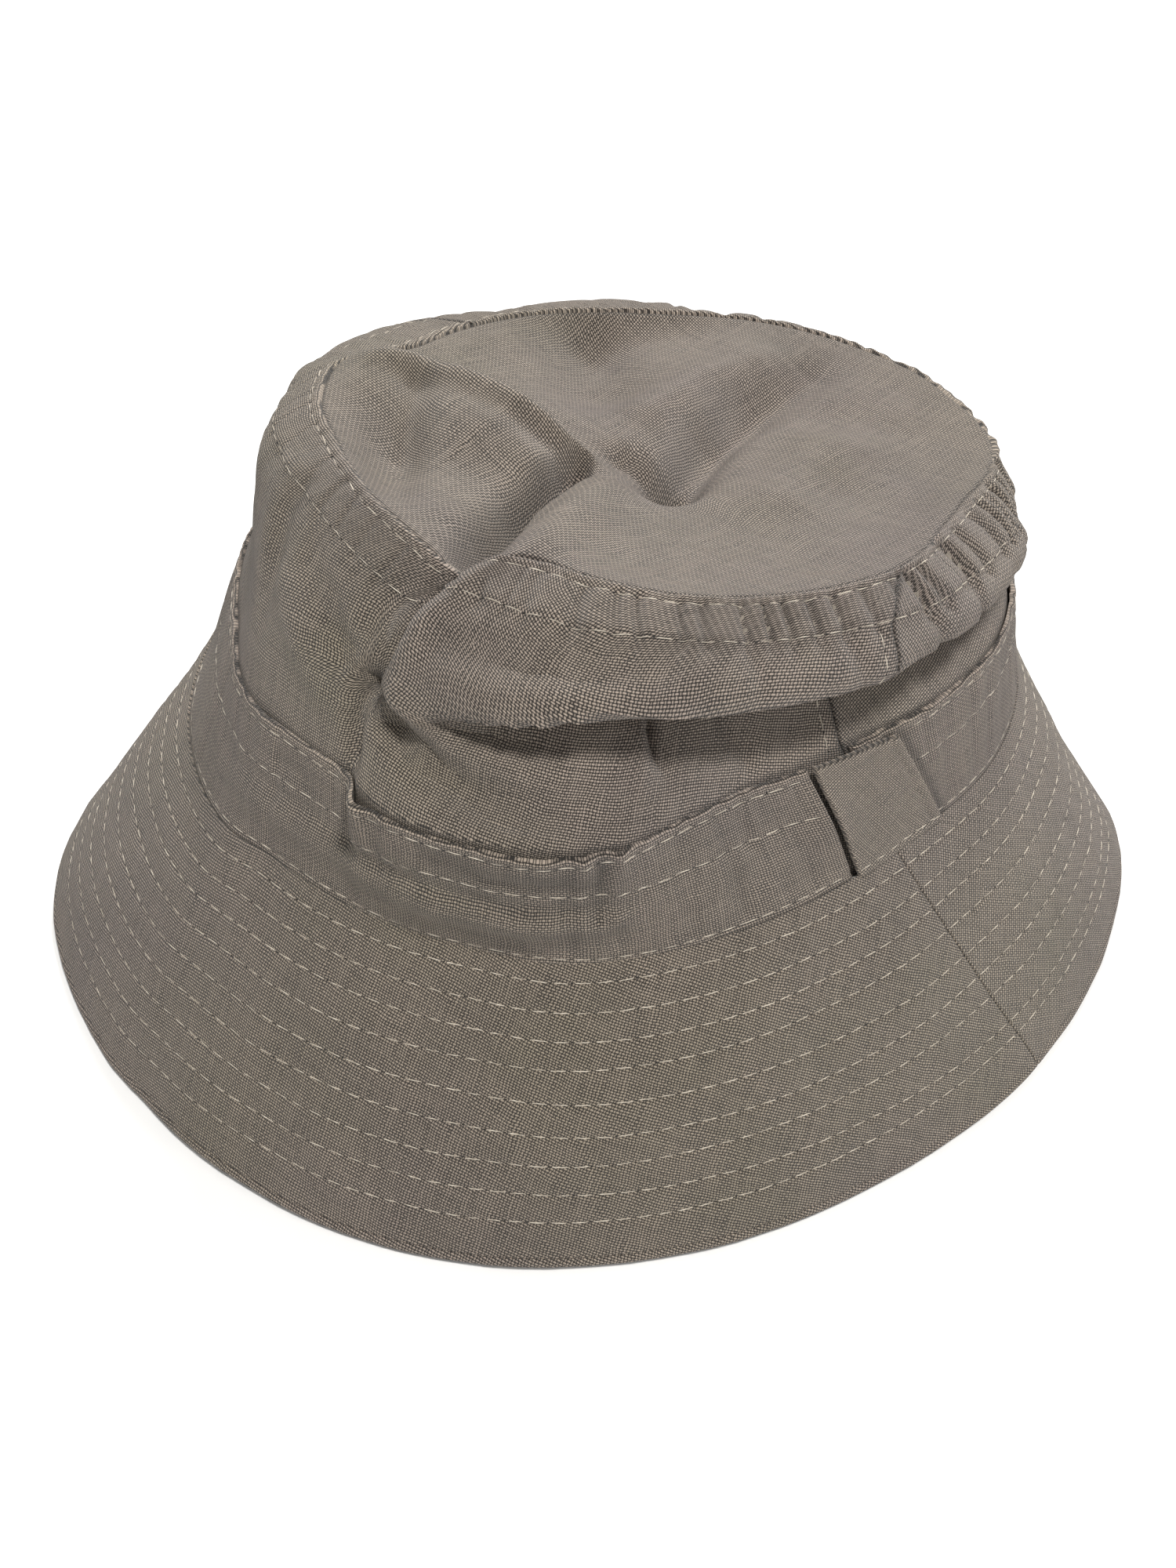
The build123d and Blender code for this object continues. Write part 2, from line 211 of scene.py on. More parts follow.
# On the band the points are the angle and the distance up from the brim seam.
BAND_MM_PER_DEG = 1.62
BAND_FOLDS = [
    (((-76.5, 32), (-77.5, 17)), (-1.1, -.8), (1.5, 2.2)),
    (((-73.8, 31), (-74.8, 18)), (1.5, .7), (1.8, 2.4)),
    (((-42.8, 33), (-44.6, 15)), (-1.1, -1.1), (1.1, 1.5)),
    (((-40.8, 33), (-42.2, 15)), (1.7, 1.1), (1.5, 2.0)),
    (((-45.4, 31), (-47.0, 20)), (1.0, .4), (1.4, 1.8)),
    (((-64, 24), (-54, 23), (-46, 23)), (-1.1, -1.3, -1.1), (2.6, 3, 2.6)),
    (((-64, 12), (-54, 12.5), (-42, 13)), (1.0, 1.7, 1.2), (3.2, 3.6, 3)),
    (((-105, 17), (-80, 17.5), (-60, 17.5), (-42, 18.5)), (-.4, -1.0, -1.2, -.5), (2, 2, 2, 2)),
    (((-105, 11.5), (-80, 12), (-66, 12)), (.4, 1.1, .9), (3, 3.5, 3.5)),
    (((-90, 24), (-80, 22)), (-.8, -.5), (3, 4)),
    (((-24, 26), (-23, 12)), (-.8, -.4), (2, 3)),
]
# Painted shade in the band's closed creases and folds, by the band's points.
BAND_CREASE_SHADE = [
    (((-43.0, 32), (-43.8, 24), (-44.8, 16)), (-1.2, -1.5, -.7), (1.1, 1.2, 1.6)),
    (((-62, 17.4), (-53, 17.2), (-46, 18.2)), (-.4, -.9, -.7), (1.4, 1.8, 1.6)),
    (((-63, 25), (-47, 25.5)), (-.3, -.5), (4, 4.5)),
    (((-77, 32), (-77.8, 20)), (-1.2, -.6), (1.1, 1.6)),
]

# Seams: the angle at which the front panel meets the back one.
CROWN_SEAM = -5.0
BRIM_SEAM = (-4.6, 2.6)  # at the crown and at the edge
TAB_LOW = (-11.2, 4.4)  # the tab's two sides at the brim seam
TAB_HIGH = (-10.3, 1.2)  # and at the band's top edge, before the twist
TAB_GAP = 0.6  # degrees from the tab's open side to the band's open end
TAB_ROW = 2.6  # the stitches that cross the tab, above the brim seam


def around(deg, keys):
    """Values set at some angles, joined smoothly round the hat with no overshoot."""
    pairs = sorted((angle % 360, value) for angle, value in keys.items())
    angles = np.array([angle for angle, _ in pairs], float)
    values = np.array([value for _, value in pairs], float)
    angles = np.concatenate([angles[-2:] - 360, angles, angles[:2] + 360])
    values = np.concatenate([values[-2:], values, values[:2]])
    gaps = np.diff(angles)
    slopes = np.diff(values) / gaps
    tangents = np.zeros(len(angles))
    before, after = slopes[:-1], slopes[1:]
    heavy = 2 * gaps[1:] + gaps[:-1]
    light = gaps[1:] + 2 * gaps[:-1]
    same_way = before * after > 0
    safe_before = np.where(same_way, before, 1)
    safe_after = np.where(same_way, after, 1)
    blend = (heavy + light) / (heavy / safe_before + light / safe_after)
    tangents[1:-1] = np.where(same_way, blend, 0)
    wrapped = np.mod(deg, 360.0)
    i = np.clip(np.searchsorted(angles, wrapped, side="right") - 1, 0, len(angles) - 2)
    step = gaps[i]
    t = (wrapped - angles[i]) / step
    return (
        (2 * t**3 - 3 * t**2 + 1) * values[i]
        + (t**3 - 2 * t**2 + t) * step * tangents[i]
        + (3 * t**2 - 2 * t**3) * values[i + 1]
        + (t**3 - t**2) * step * tangents[i + 1]
    )


def oval_point(radius, deg, height):
    """Points of the hat's oval at this radius along Y."""
    turn = np.radians(deg)
    x = OVAL * radius * np.cos(turn)
    y = radius * np.sin(turn)
    return np.stack([x, y, height + 0 * x], -1)


def seam_ring(deg):
    """The seam between crown and brim, at these angles."""
    return oval_point(SEAM_R + around(deg, SEAM_OUT), deg, SEAM_Z + around(deg, SEAM_RISE))


def band_top_ring(deg):
    """The band's top edge, turned by its twist."""
    inward = SEAM_R + around(deg, SEAM_OUT) - around(deg, BAND_TOP_R)
    rise = np.sqrt(np.maximum(BAND_HEIGHT**2 - inward**2, 0))
    height = SEAM_Z + around(deg, SEAM_RISE) + rise
    return oval_point(around(deg, BAND_TOP_R), deg + around(deg, TWIST), height)


def tip_plane(x, y):
    """The height of the tip's tilted plane."""
    return TIP_Z - TIP_DROP + TIP_TILT[0] * (x - TIP_MIDDLE[0]) + TIP_TILT[1] * (y - TIP_MIDDLE[1])


def tip_ring(deg):
    """The seam between the crown's side and its tip."""
    turn = np.radians(deg)
    radius = around(deg, TIP_R)
    x = TIP_MIDDLE[0] + TIP_NARROW * radius * np.cos(turn)
    y = TIP_MIDDLE[1] + radius * np.sin(turn)
    return np.stack([x, y, tip_plane(x, y) + around(deg, TIP_DIP)], -1)


def spline_rows(controls, count):
    """Rows of points on a Catmull-Rom spline through rows of control points."""
    controls = np.array(controls)
    last = len(controls) - 1
    place = np.linspace(0, last, count)
    i = np.clip(place.astype(int), 0, last - 1)
    t = (place - i)[:, None, None]
    padded = np.concatenate(
        [2 * controls[:1] - controls[1:2], controls, 2 * controls[-1:] - controls[-2:-1]]
    )
    a, b, c, d = (padded[i + k] for k in range(4))
    return 0.5 * (
        2 * b + (c - a) * t + (2 * a - 5 * b + 4 * c - d) * t**2 + (3 * b - a - 3 * c + d) * t**3
    )


def folds(across, along, lines):
    """The height of ridges and valleys that follow lines of points, at each point of a sheet."""
    height = np.zeros(across.shape)
    for points, heights, widths in lines:
        nearest = np.full(across.shape, 1e9)
        tall = np.zeros(across.shape)
        wide = np.ones(across.shape)
        for i in range(len(points) - 1):
            start, end = np.array(points[i]), np.array(points[i + 1])
            reach = end - start
            t = ((across - start[0]) * reach[0] + (along - start[1]) * reach[1]) / (reach @ reach)
            t = np.clip(t, 0, 1)
            gap = np.hypot(across - start[0] - t * reach[0], along - start[1] - t * reach[1])
            closer = gap < nearest
            nearest = np.where(closer, gap, nearest)
            tall = np.where(closer, heights[i] + (heights[i + 1] - heights[i]) * t, tall)
            wide = np.where(closer, widths[i] + (widths[i + 1] - widths[i]) * t, wide)
        height += tall * hump(nearest, 0, wide)
    return height


def ripples(points, seed, wavelengths, heights):
    """Soft irregular waves through space, so that neighbouring cloths share them."""
    random = np.random.RandomState(seed)
    total = np.zeros(points.shape[:-1])
    for wavelength, height in zip(wavelengths, heights):
        for _ in range(5):
            way = random.normal(size=3)
            way /= np.linalg.norm(way)
            phase = random.uniform(0, 2 * math.pi)
            total += height / 2.2 * np.sin(points @ way * 2 * math.pi / wavelength + phase)
    return total


def creases(along, span, seed, pitch, width):
    """A row of short sharp creases across a strip, at uneven distances along it."""
    random = np.random.RandomState(seed)
    total = np.zeros(np.shape(along))
    place = 0.0
    while place < span:
        depth = random.uniform(0.3, 1.0)
        own_width = width * random.uniform(0.7, 1.5)
        total -= depth * hump(along, place, own_width)
        place += pitch * random.uniform(0.55, 1.5)
    return total


def hump(value, middle, width):
    """1 at the middle, falling away smoothly to either side."""
    return np.exp(-(((value - middle) / width) ** 2))


def near(value, low, high, fade):
    """1 between low and high, fading smoothly to 0 outside them."""
    rise = np.clip((value - low) / fade + 1, 0, 1)
    fall = np.clip((high - value) / fade + 1, 0, 1)
    both = rise * fall
    return both * both * (3 - 2 * both)


# ---------------------------------------------------------------- the master sheets
def wall_points(deg):
    """The crown's side, from the brim seam up behind the band and over to the tip seam."""
    low, top, tip = seam_ring(deg), band_top_ring(deg), tip_ring(deg)
    twist = around(deg, TWIST)
    controls = [top]
    for level, share in enumerate((0.9, 0.6, 0.3)):
        radius = around(deg, {angle: rows[level][0] for angle, rows in SIDE.items()})
        height = around(deg, {angle: rows[level][1] for angle, rows in SIDE.items()})
        controls.append(oval_point(radius, deg + share * twist, height))
    controls.append(tip)
    behind_band = low + (top - low) * np.linspace(0, 1, 81)[:-1, None, None]
    above = spline_rows(controls, 241)
    return np.concatenate([behind_band, above])


def brim_points(deg):
    """The brim's top face, from its seam to its edge."""
    share = np.linspace(0, 1, 201)[:, None]
    seam_r = SEAM_R + around(deg, SEAM_OUT)
    edge_r = BRIM_R - around(deg, EDGE_IN)
    slope = math.hypot(BRIM_R - SEAM_R, SEAM_Z)
    swell = around(deg, BRIM_SWELL) * 4 * share * (1 - share)
    radius = seam_r + (edge_r - seam_r) * share + swell * SEAM_Z / slope
    seam_z = SEAM_Z + around(deg, SEAM_RISE)
    height = seam_z + (EDGE_LIFT - seam_z) * share + swell * (BRIM_R - SEAM_R) / slope
    return oval_point(radius, deg, height + 0 * radius)


def tip_points(deg):
    """The tip, from its middle out to its seam."""
    ring = tip_ring(deg)
    share = np.linspace(0, 1, 161)[:, None]
    x = TIP_MIDDLE[0] + share * (ring[:, 0] - TIP_MIDDLE[0])
    y = TIP_MIDDLE[1] + share * (ring[:, 1] - TIP_MIDDLE[1])
    seam_dip = ring[:, 2] - tip_plane(ring[:, 0], ring[:, 1])
    height = tip_plane(x, y) + seam_dip * share**4 - TIP_DISH * (1 - share**2.5)
    height += folds(x, y, TIP_FOLDS) * (1 - share**12)
    return np.stack([x, y, height], -1)


class Sheet:
    """A cloth's outer face, closely sampled: rows along the cloth, columns round the hat."""

    def __init__(self, points, closed=False):
        self.points = points
        if closed:
            wide = np.concatenate([points[:, -1:], points, points[:, :1]], 1)
            across = (wide[:, 2:] - wide[:, :-2]) / 2
        else:
            across = np.gradient(points, axis=1)
        normals = np.cross(across, np.gradient(points, axis=0))
        size = np.linalg.norm(normals, axis=-1, keepdims=True)
        self.normals = normals / np.maximum(size, 1e-9)
        steps = np.linalg.norm(np.diff(points, axis=0), axis=-1)
        self.run = np.concatenate([np.zeros((1, points.shape[1])), np.cumsum(steps, 0)])

    def length(self):
        return self.run[-1]

    def at(self, run):
        """Points and normals at these distances from the first row, for each column."""
        columns = self.points.shape[1]
        points = np.empty((len(run), columns, 3))
        normals = np.empty_like(points)
        for column in range(columns):
            for axis in range(3):
                points[:, column, axis] = np.interp(
                    run[:, column], self.run[:, column], self.points[:, column, axis]
                )
                normals[:, column, axis] = np.interp(
                    run[:, column], self.run[:, column], self.normals[:, column, axis]
                )
        normals /= np.linalg.norm(normals, axis=-1, keepdims=True)
        return points, normals


def lifted(points, normals, height):
    """Points moved off their surface, along its normals, by a height that differs by point."""
    return points + normals * height[..., None]


def nearest_to(values, target):
    """The index of the value nearest to the target."""
    return int(np.argmin(np.abs(values - target)))


def rounded(distance, radius):
    """How far a rounded edge has dropped at this distance from the edge."""
    inside = np.clip(radius - distance, 0, radius)
    return radius - np.sqrt(np.maximum(radius**2 - inside**2, 0))


def spread(length, step, edge):
    """Distances from 0 to length, close together for a rounded edge at both ends."""
    fine = edge * np.array([0, 0.03, 0.12, 0.3, 0.6, 1.0])
    middle_count = max(2, int(round((length - 2 * edge) / step)))
    middle = np.linspace(edge, length - edge, middle_count + 1)[1:-1]
    return np.concatenate([fine, middle, length - fine[::-1]])


def between(knots, pattern):
    """Rows at every knot, and between each two knots at the shares that pattern gives."""
    rows = []
    for low, high in zip(knots[:-1], knots[1:]):
        for share in pattern:
            rows.append(low + (high - low) * share)
    rows.append(knots[-1])
    return np.array(rows)


def solid(name, front, back, cloth, wear_and_shade=None, stride=4, closed=False, middle=False):
    """A closed sheet of cloth from its front face and its back face, which keeps every
    stride-th row of the grid. cloth holds each point's place on the flat cloth, in mm. The wear
    and shade values make the colour of the front paler where they are above 0, for rubbed cloth,
    and darker where they are below 0, for painted shade.
    A closed sheet goes right round, and with a middle its first row shrinks to a point."""
    rows, columns = front.shape[:2]
    kept = sorted(set(range(0, rows, stride)) | {rows - 1})
    points = np.concatenate([front, back[kept]])
    flat = np.concatenate([cloth, cloth[kept]])
    worn_and_shaded = np.zeros((rows, columns)) if wear_and_shade is None else wear_and_shade
    worn_and_shaded = np.concatenate([worn_and_shaded, 0 * worn_and_shaded[kept]])
    ring = np.array(list(range(rows)) + [rows + k for k in reversed(range(len(kept)))])
    following = np.roll(ring, -1)
    if middle:
        ring, following = ring[:-1], following[:-1]
    here = np.arange(columns if closed else columns - 1)
    beside = (here + 1) % columns
    corners = [
        ring[:, None] * columns + beside,
        following[:, None] * columns + beside,
        following[:, None] * columns + here,
        ring[:, None] * columns + here,
    ]
    faces = [tuple(face) for face in np.stack(corners, -1).reshape(-1, 4).tolist()]
    points, flat, worn_and_shaded = points.reshape(-1, 3), flat.reshape(-1, 2), worn_and_shaded.reshape(-1)
    if middle:
        for first, flip in ((0, False), (rows * columns, True)):
            rim = np.arange(first, first + columns)
            points = np.concatenate([points, points[rim].mean(0, keepdims=True)])
            flat = np.concatenate([flat, flat[rim].mean(0, keepdims=True)])
            worn_and_shaded = np.append(worn_and_shaded, 0)
            for a, b in zip(rim.tolist(), np.roll(rim, -1).tolist()):
                faces.append((b, a, len(points) - 1) if flip else (a, b, len(points) - 1))
    if not closed:
        for column, flip in ((0, True), (columns - 1, False)):
            for k in range(len(kept) - 1):
                outline = [r * columns + column for r in range(kept[k], kept[k + 1] + 1)]
                outline += [(rows + k + 1) * columns + column, (rows + k) * columns + column]
                faces.append(tuple(outline[::-1] if flip else outline))
    return mesh_piece(name, points, faces, flat, worn_and_shaded)


def mesh_piece(name, points, faces, cloth=None, wear_and_shade=None):
    """A mesh object from points in mm, with where each point is on the flat cloth."""
    mesh = bpy.data.meshes.new(name)
    mesh.from_pydata((points * METRES).tolist(), [], faces)
    if cloth is not None:
        place = mesh.attributes.new("cloth", "FLOAT_VECTOR", "POINT")
        place.data.foreach_set("vector", np.c_[cloth, np.zeros(len(cloth))].ravel())
    # Paler for rubbed cloth above 0, painted shade below 0; on stitches 1 marks the needle holes'
    # painted shade.
    if wear_and_shade is not None:
        worn_and_shaded = mesh.attributes.new("wear_and_shade", "FLOAT", "POINT")
        worn_and_shaded.data.foreach_set("value", np.asarray(wear_and_shade, float))
    mesh.update()
    mesh.shade_smooth()
    mesh.set_sharp_from_angle(angle=math.radians(SHARP_ANGLE))
    piece = bpy.data.objects.new(name, mesh)
    bpy.context.collection.objects.link(piece)
    return piece


def finish_piece(piece, slot, nodes):
    """Gives a piece the material of its slot and its body, and hides the CAD nodes it stands for."""
    piece.data.materials.append(FINISHES[slot])
    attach(piece, "root")
    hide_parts(*nodes)


def cloth_piece(node, slot, front, back, cloth, wear_and_shade=None, **shape):
    """The cloth that stands in for one CAD node."""
    piece = solid(f"{node}_cloth", front, back, cloth, wear_and_shade, **shape)
    finish_piece(piece, slot, [node])


# ---------------------------------------------------------------- materials
class Nodes:
    """Short helpers for writing a material's nodes as sums and products."""

    def __init__(self, name):
        self.material = bpy.data.materials.new(name)
        self.material.use_nodes = True
        self.tree = self.material.node_tree
        self.shader = self.tree.nodes["Principled BSDF"]

    def node(self, kind, inputs=(), output=0, **settings):
        made = self.tree.nodes.new(kind)
        for key, value in settings.items():
            setattr(made, key, value)
        for key, value in dict(inputs).items():
            self.put(made.inputs[key], value)
        return made.outputs[output]

    def put(self, socket, value):
        if isinstance(value, bpy.types.NodeSocket):
            self.tree.links.new(value, socket)
        else:
            socket.default_value = value

    def math(self, operation, *values):
        return self.node("ShaderNodeMath", enumerate(values), operation=operation)

    def times(self, first, second):
        return self.math("MULTIPLY", first, second)

    def times_plus(self, first, second, third):
        return self.math("MULTIPLY_ADD", first, second, third)

    def minus(self, first, second):
        return self.math("SUBTRACT", first, second)

    def position(self):
        return self.node("ShaderNodeNewGeometry", {}, "Position")

    def surface(self, roughness, specular, sheen, bump, depth, height):
        """How the surface takes light, and the relief that height gives it, depth in metres."""
        self.shader.inputs["Roughness"].default_value = roughness
        self.shader.inputs["Specular IOR Level"].default_value = specular
        self.shader.inputs["Sheen Weight"].default_value = sheen
        inputs = {"Strength": bump, "Distance": depth, "Height": height}
        self.put(self.shader.inputs["Normal"], self.node("ShaderNodeBump", inputs))

    def attribute(self, name, output):
        return self.node("ShaderNodeAttribute", {}, output, attribute_name=name)

    def noise(self, vector, scale, detail=2.0, rough=0.5):
        inputs = {"Vector": vector, "Scale": scale, "Detail": detail, "Roughness": rough}
        return self.node("ShaderNodeTexNoise", inputs, "Fac")

    def vector(self, x, y, z=0.0):
        return self.node("ShaderNodeCombineXYZ", {"X": x, "Y": y, "Z": z})

    def mix(self, share, first, second):
        made = self.tree.nodes.new("ShaderNodeMix")
        made.data_type = "RGBA"
        self.put(made.inputs["Factor"], share)
        colours = [s for s in made.inputs if s.type == "RGBA"]
        self.put(colours[0], first)
        self.put(colours[1], second)
        return [s for s in made.outputs if s.type == "RGBA"][0]

    def scale_range(self, value, low, high, to_low, to_high):
        inputs = {0: value, 1: low, 2: high, 3: to_low, 4: to_high}
        return self.node("ShaderNodeMapRange", inputs)


def canvas(name, colour, purple, olive, pitch, contrast, bump=0.75):
    """Plain-woven canvas: threads over and under, slubs, and a mottled wash of colour."""
    n = Nodes(name)
    place = n.attribute("cloth", "Vector")
    split = n.tree.nodes.new("ShaderNodeSeparateXYZ")
    n.put(split.inputs[0], place)
    drift = n.times(n.minus(n.noise(place, 0.11, 2.0), 0.5), 1.6)
    warp = n.math("DIVIDE", n.math("ADD", split.outputs[0], drift), pitch)
    weft = n.math("DIVIDE", n.minus(split.outputs[1], drift), pitch)
    over = n.times(*(n.math("SINE", n.times(turn, math.pi)) for turn in (warp, weft)))
    heights = []
    for across, along, lean, level, spacing in (
        (warp, weft, 0.34, 0.40, 7.31), (weft, warp, -0.48, 0.52, 5.77),
    ):
        side = n.minus(n.math("FRACT", across), 0.5)
        dome = n.minus(1.0, n.times(n.math("POWER", side, 2.0), 3.4))
        up = n.times(dome, n.times_plus(over, lean, level))
        line = (n.times(n.math("FLOOR", across), spacing), n.times(along, 0.05))
        slub = n.noise(n.vector(*(line if across is warp else line[::-1])), 1.0, 3.0, 0.6)
        heights.append(n.times(up, n.times_plus(slub, 1.0, 0.5)))
    fuzz = n.times_plus(n.noise(place, 9.0, 3.0, 0.7), 0.5, -0.25)
    height = n.math("ADD", n.math("MAXIMUM", *heights), fuzz)
    wash = n.noise(n.position(), 42.0, 4.0, 0.62)
    wide_wash = n.noise(n.position(), 15.0, 3.0, 0.5)
    tint = n.mix(n.scale_range(wide_wash, 0.36, 0.64, 0.0, 1.0), purple, olive)
    tint = n.mix(n.scale_range(wash, 0.35, 0.65, 0.15, 0.75), tint, colour)
    # The low threads are painted darker than the high ones: the weave's pattern, with painted shade in
    # the gaps between the threads.
    deep = n.scale_range(height, 0.33, 0.77, 1.0 - contrast, 1.0 + contrast)
    blotch = n.scale_range(wash, 0.3, 0.7, 0.93, 1.06)
    # Paler where the cloth is rubbed, and darker where shade is painted into creases and seams.
    worn_and_shaded = n.times_plus(n.attribute("wear_and_shade", "Fac"), 0.30, 1.0)
    shade = n.times(n.times(deep, blotch), worn_and_shaded)
    toned = n.node(
        "ShaderNodeVectorMath", {0: tint, 1: n.vector(shade, shade, shade)}, operation="MULTIPLY"
    )
    n.put(n.shader.inputs["Base Color"], toned)
    n.surface(0.92, 0.22, 0.18, bump, 0.0006, height)
    n.shader.inputs["Sheen Roughness"].default_value = 0.55
    return n.material


def thread_material():
    """Spun cotton thread, paler than the canvas, with the shade in the holes its needle left painted
    dark.
    """
    n = Nodes("sewing_thread")
    patches = n.scale_range(n.noise(n.position(), 900.0, 2.0), 0.3, 0.7, 0.0, 1.0)
    colour = n.mix(patches, (.30, .26, .21, 1), (.62, .56, .47, 1))
    # Painted shade: near black on the discs at the needle holes.
    colour = n.mix(n.attribute("wear_and_shade", "Fac"), colour, (.012, .010, .008, 1))
    n.put(n.shader.inputs["Base Color"], colour)
    fibres = n.noise(n.position(), 4200.0, 3.0, 0.7)
    n.surface(0.62, 0.3, 0.1, 0.35, 0.0001, fibres)
    return n.material


# ---------------------------------------------------------------- flat cloth coordinates
def arc_along(points):
    """Distance along a row of points."""
    return np.concatenate([[0], np.cumsum(np.linalg.norm(np.diff(points, axis=0), axis=-1))])


def cone_cloth(along, run, radius):
    """Where points lie on the cloth of a cone laid flat: radius is negative where the cone
    narrows along its run."""
    middle = np.atleast_2d(along)[0, along.shape[-1] // 2]
    turn = (along - middle) / radius
    reach = radius + run
    return np.stack([reach * np.sin(turn), reach * np.cos(turn) - radius], -1)


def strip_cloth(along, run):
    """Where points of a straight strip lie on the flat cloth."""
    return np.stack([along + 0 * run, run + 0 * along], -1)


# ---------------------------------------------------------------- stitches
STITCH_GAP = 0.22  # from a needle hole to the thread's end on either side of it
STITCH_UNEVEN = 0.22  # how far a needle hole may be out of its place
THREAD_SINK = 0.15  # the ends of a stitch go this far into the cloth
THREAD_ARCH = 0.19  # and its middle rises this far above them
SECTIONS, SIDES = 7, 6  # rings of points along a stitch, and points on each ring
AFTER = [(k + 1) % SIDES for k in range(SIDES)]
# The faces of one stitch, of its two ends and of one needle hole's disc of painted shade, by the
# numbers of their points.
CAPSULE = [
    (row + k, row + AFTER[k], row + SIDES + AFTER[k], row + SIDES + k)
    for row in range(0, (SECTIONS - 1) * SIDES, SIDES) for k in range(SIDES)
]
CAPSULE_ENDS = [tuple(reversed(range(SIDES))), tuple(range((SECTIONS - 1) * SIDES, SECTIONS * SIDES))]
HOLE = [(k, AFTER[k], SIDES) for k in range(SIDES)] + [(AFTER[k], k, SIDES + 1) for k in range(SIDES)]


def repeated(faces, count, size, first):
    """Faces repeated for count shapes of that many points each, from point number first."""
    return [
        tuple(first + shape * size + k for k in face) for shape in range(count) for face in faces
    ]


def sampled(values, run, place):
    """Points of a line, or its normals, at these distances along it."""
    return np.stack([np.interp(place, run, values[:, axis]) for axis in range(3)], -1)


def stitches(lines, seed):
    """Lock stitches on lines of cloth: points, faces, and 1 on the discs of painted shade at the
    needle holes.
    """
    random = np.random.RandomState(seed)
    share = np.linspace(0, 1, SECTIONS)
    arch = np.sin(math.pi * share) ** 0.6
    turn = np.arange(SIDES) / SIDES * 2 * math.pi
    points, faces, dark = [], [], []
    total = 0
    for line, normals in lines:
        run = arc_along(line)
        count = max(1, int(round(run[-1] / STITCH)))
        ends = np.linspace(0, run[-1], count + 1)
        ends[1:-1] += random.uniform(-STITCH_UNEVEN, STITCH_UNEVEN, count - 1)
        start = ends[:-1, None] + STITCH_GAP
        stop = ends[1:, None] - STITCH_GAP
        place = start + (stop - start) * share
        centre = sampled(line, run, place)
        up = sampled(normals, run, place)
        up /= np.linalg.norm(up, axis=-1, keepdims=True)
        along = np.gradient(centre, axis=1)
        along /= np.linalg.norm(along, axis=-1, keepdims=True)
        beside = np.cross(up, along)
        tight = random.uniform(0.75, 1.1, (count, 1))
        slant = random.uniform(-0.12, 0.12, (count, 1)) * (share * 2 - 1)
        lift = -THREAD_SINK + THREAD_ARCH * arch * tight
        centre = centre + up * lift[..., None] + beside * slant[..., None]
        thick = THREAD_R * (0.62 + 0.38 * arch) * tight
        ring = (
            centre[:, :, None]
            + beside[:, :, None] * (np.cos(turn)[:, None] * thick[..., None, None])
            + up[:, :, None] * (np.sin(turn)[:, None] * thick[..., None, None])
        )
        size = SECTIONS * SIDES
        faces += repeated(CAPSULE, count, size, total) + repeated(CAPSULE_ENDS, count, size, total)
        points.append(ring.reshape(-1, 3))
        dark.append(np.zeros(count * size))
        total += count * size
        # A dark disc at each needle hole, its shade painted on.
        hole, hole_up = sampled(line, run, ends[:-1]), up[:, 0]
        width = random.uniform(0.15, 0.30, (count, 1, 1))
        rim = (
            hole[:, None]
            + along[:, :1] * (np.cos(turn)[:, None] * width * 1.15)
            + beside[:, :1] * (np.sin(turn)[:, None] * width)
        )
        lens = np.concatenate(
            [rim, (hole + 0.05 * hole_up)[:, None], (hole - 0.12 * hole_up)[:, None]], 1
        )
        size = SIDES + 2
        faces += repeated(HOLE, count, size, total)
        points.append(lens.reshape(-1, 3))
        dark.append(np.ones(count * size))
        total += count * size
    return np.concatenate(points), faces, np.concatenate(dark)


def stitch_piece(name, lines, seed):
    """One node's stitches, on a list of (line, normals)."""
    points, faces, dark = stitches(lines, seed)
    piece = mesh_piece(name, points, faces, wear_and_shade=dark)
    finish_piece(piece, "sewing_thread", [name])


# ---------------------------------------------------------------- finishes
# By slot: the colour, its purple and olive washes, the threads' pitch in mm, the contrast between
# high and low threads, and the strength of the relief if it isn't the usual one.
CANVASES = {
    "crown_canvas": (
        (.222, .183, .148, 1), (.205, .167, .146, 1), (.212, .181, .134, 1), .53, .92),
    "brim_canvas": (
        (.220, .180, .146, 1), (.204, .165, .144, 1), (.212, .180, .134, 1), .56, .90),
    "brim_under_canvas": (
        (.200, .164, .131, 1), (.184, .150, .129, 1), (.193, .164, .122, 1), .56, .88),
    "band_canvas": (
        (.205, .167, .135, 1), (.189, .154, .133, 1), (.197, .167, .125, 1), .56, .92),
    "tab_canvas": (
        (.222, .183, .146, 1), (.206, .170, .144, 1), (.214, .183, .134, 1), .56, .88),
    "sweatband_cotton": (
        (.30, .265, .215, 1), (.285, .245, .21, 1), (.295, .262, .20, 1), .42, .22, .18),
    "seam_tape": ((.24, .21, .17, 1), (.225, .195, .165, 1), (.235, .208, .158, 1), .38, .25, .2),
    "interlining": ((.42, .40, .35, 1), (.41, .385, .345, 1), (.415, .395, .335, 1), .5, .25, .2),
}
FINISHES = {slot: canvas(slot, *look) for slot, look in CANVASES.items()}
FINISHES["sewing_thread"] = thread_material()

# ---------------------------------------------------------------- the crown's tip
TIP_ROLL = 1.3
SIDE_ROLL = 0.8
FOLD_REACH = 12.0  # how far from a fold its cloth is drawn in from
SEAM_PAD = 0.75  # the seam allowances lie under the side, down to the second row of stitches


def crown_ripples(points):
    """The soft waves that the crown's tip and its side share."""
    return ripples(points, 5, (46, 27, 15), (0.55, 0.3, 0.1))


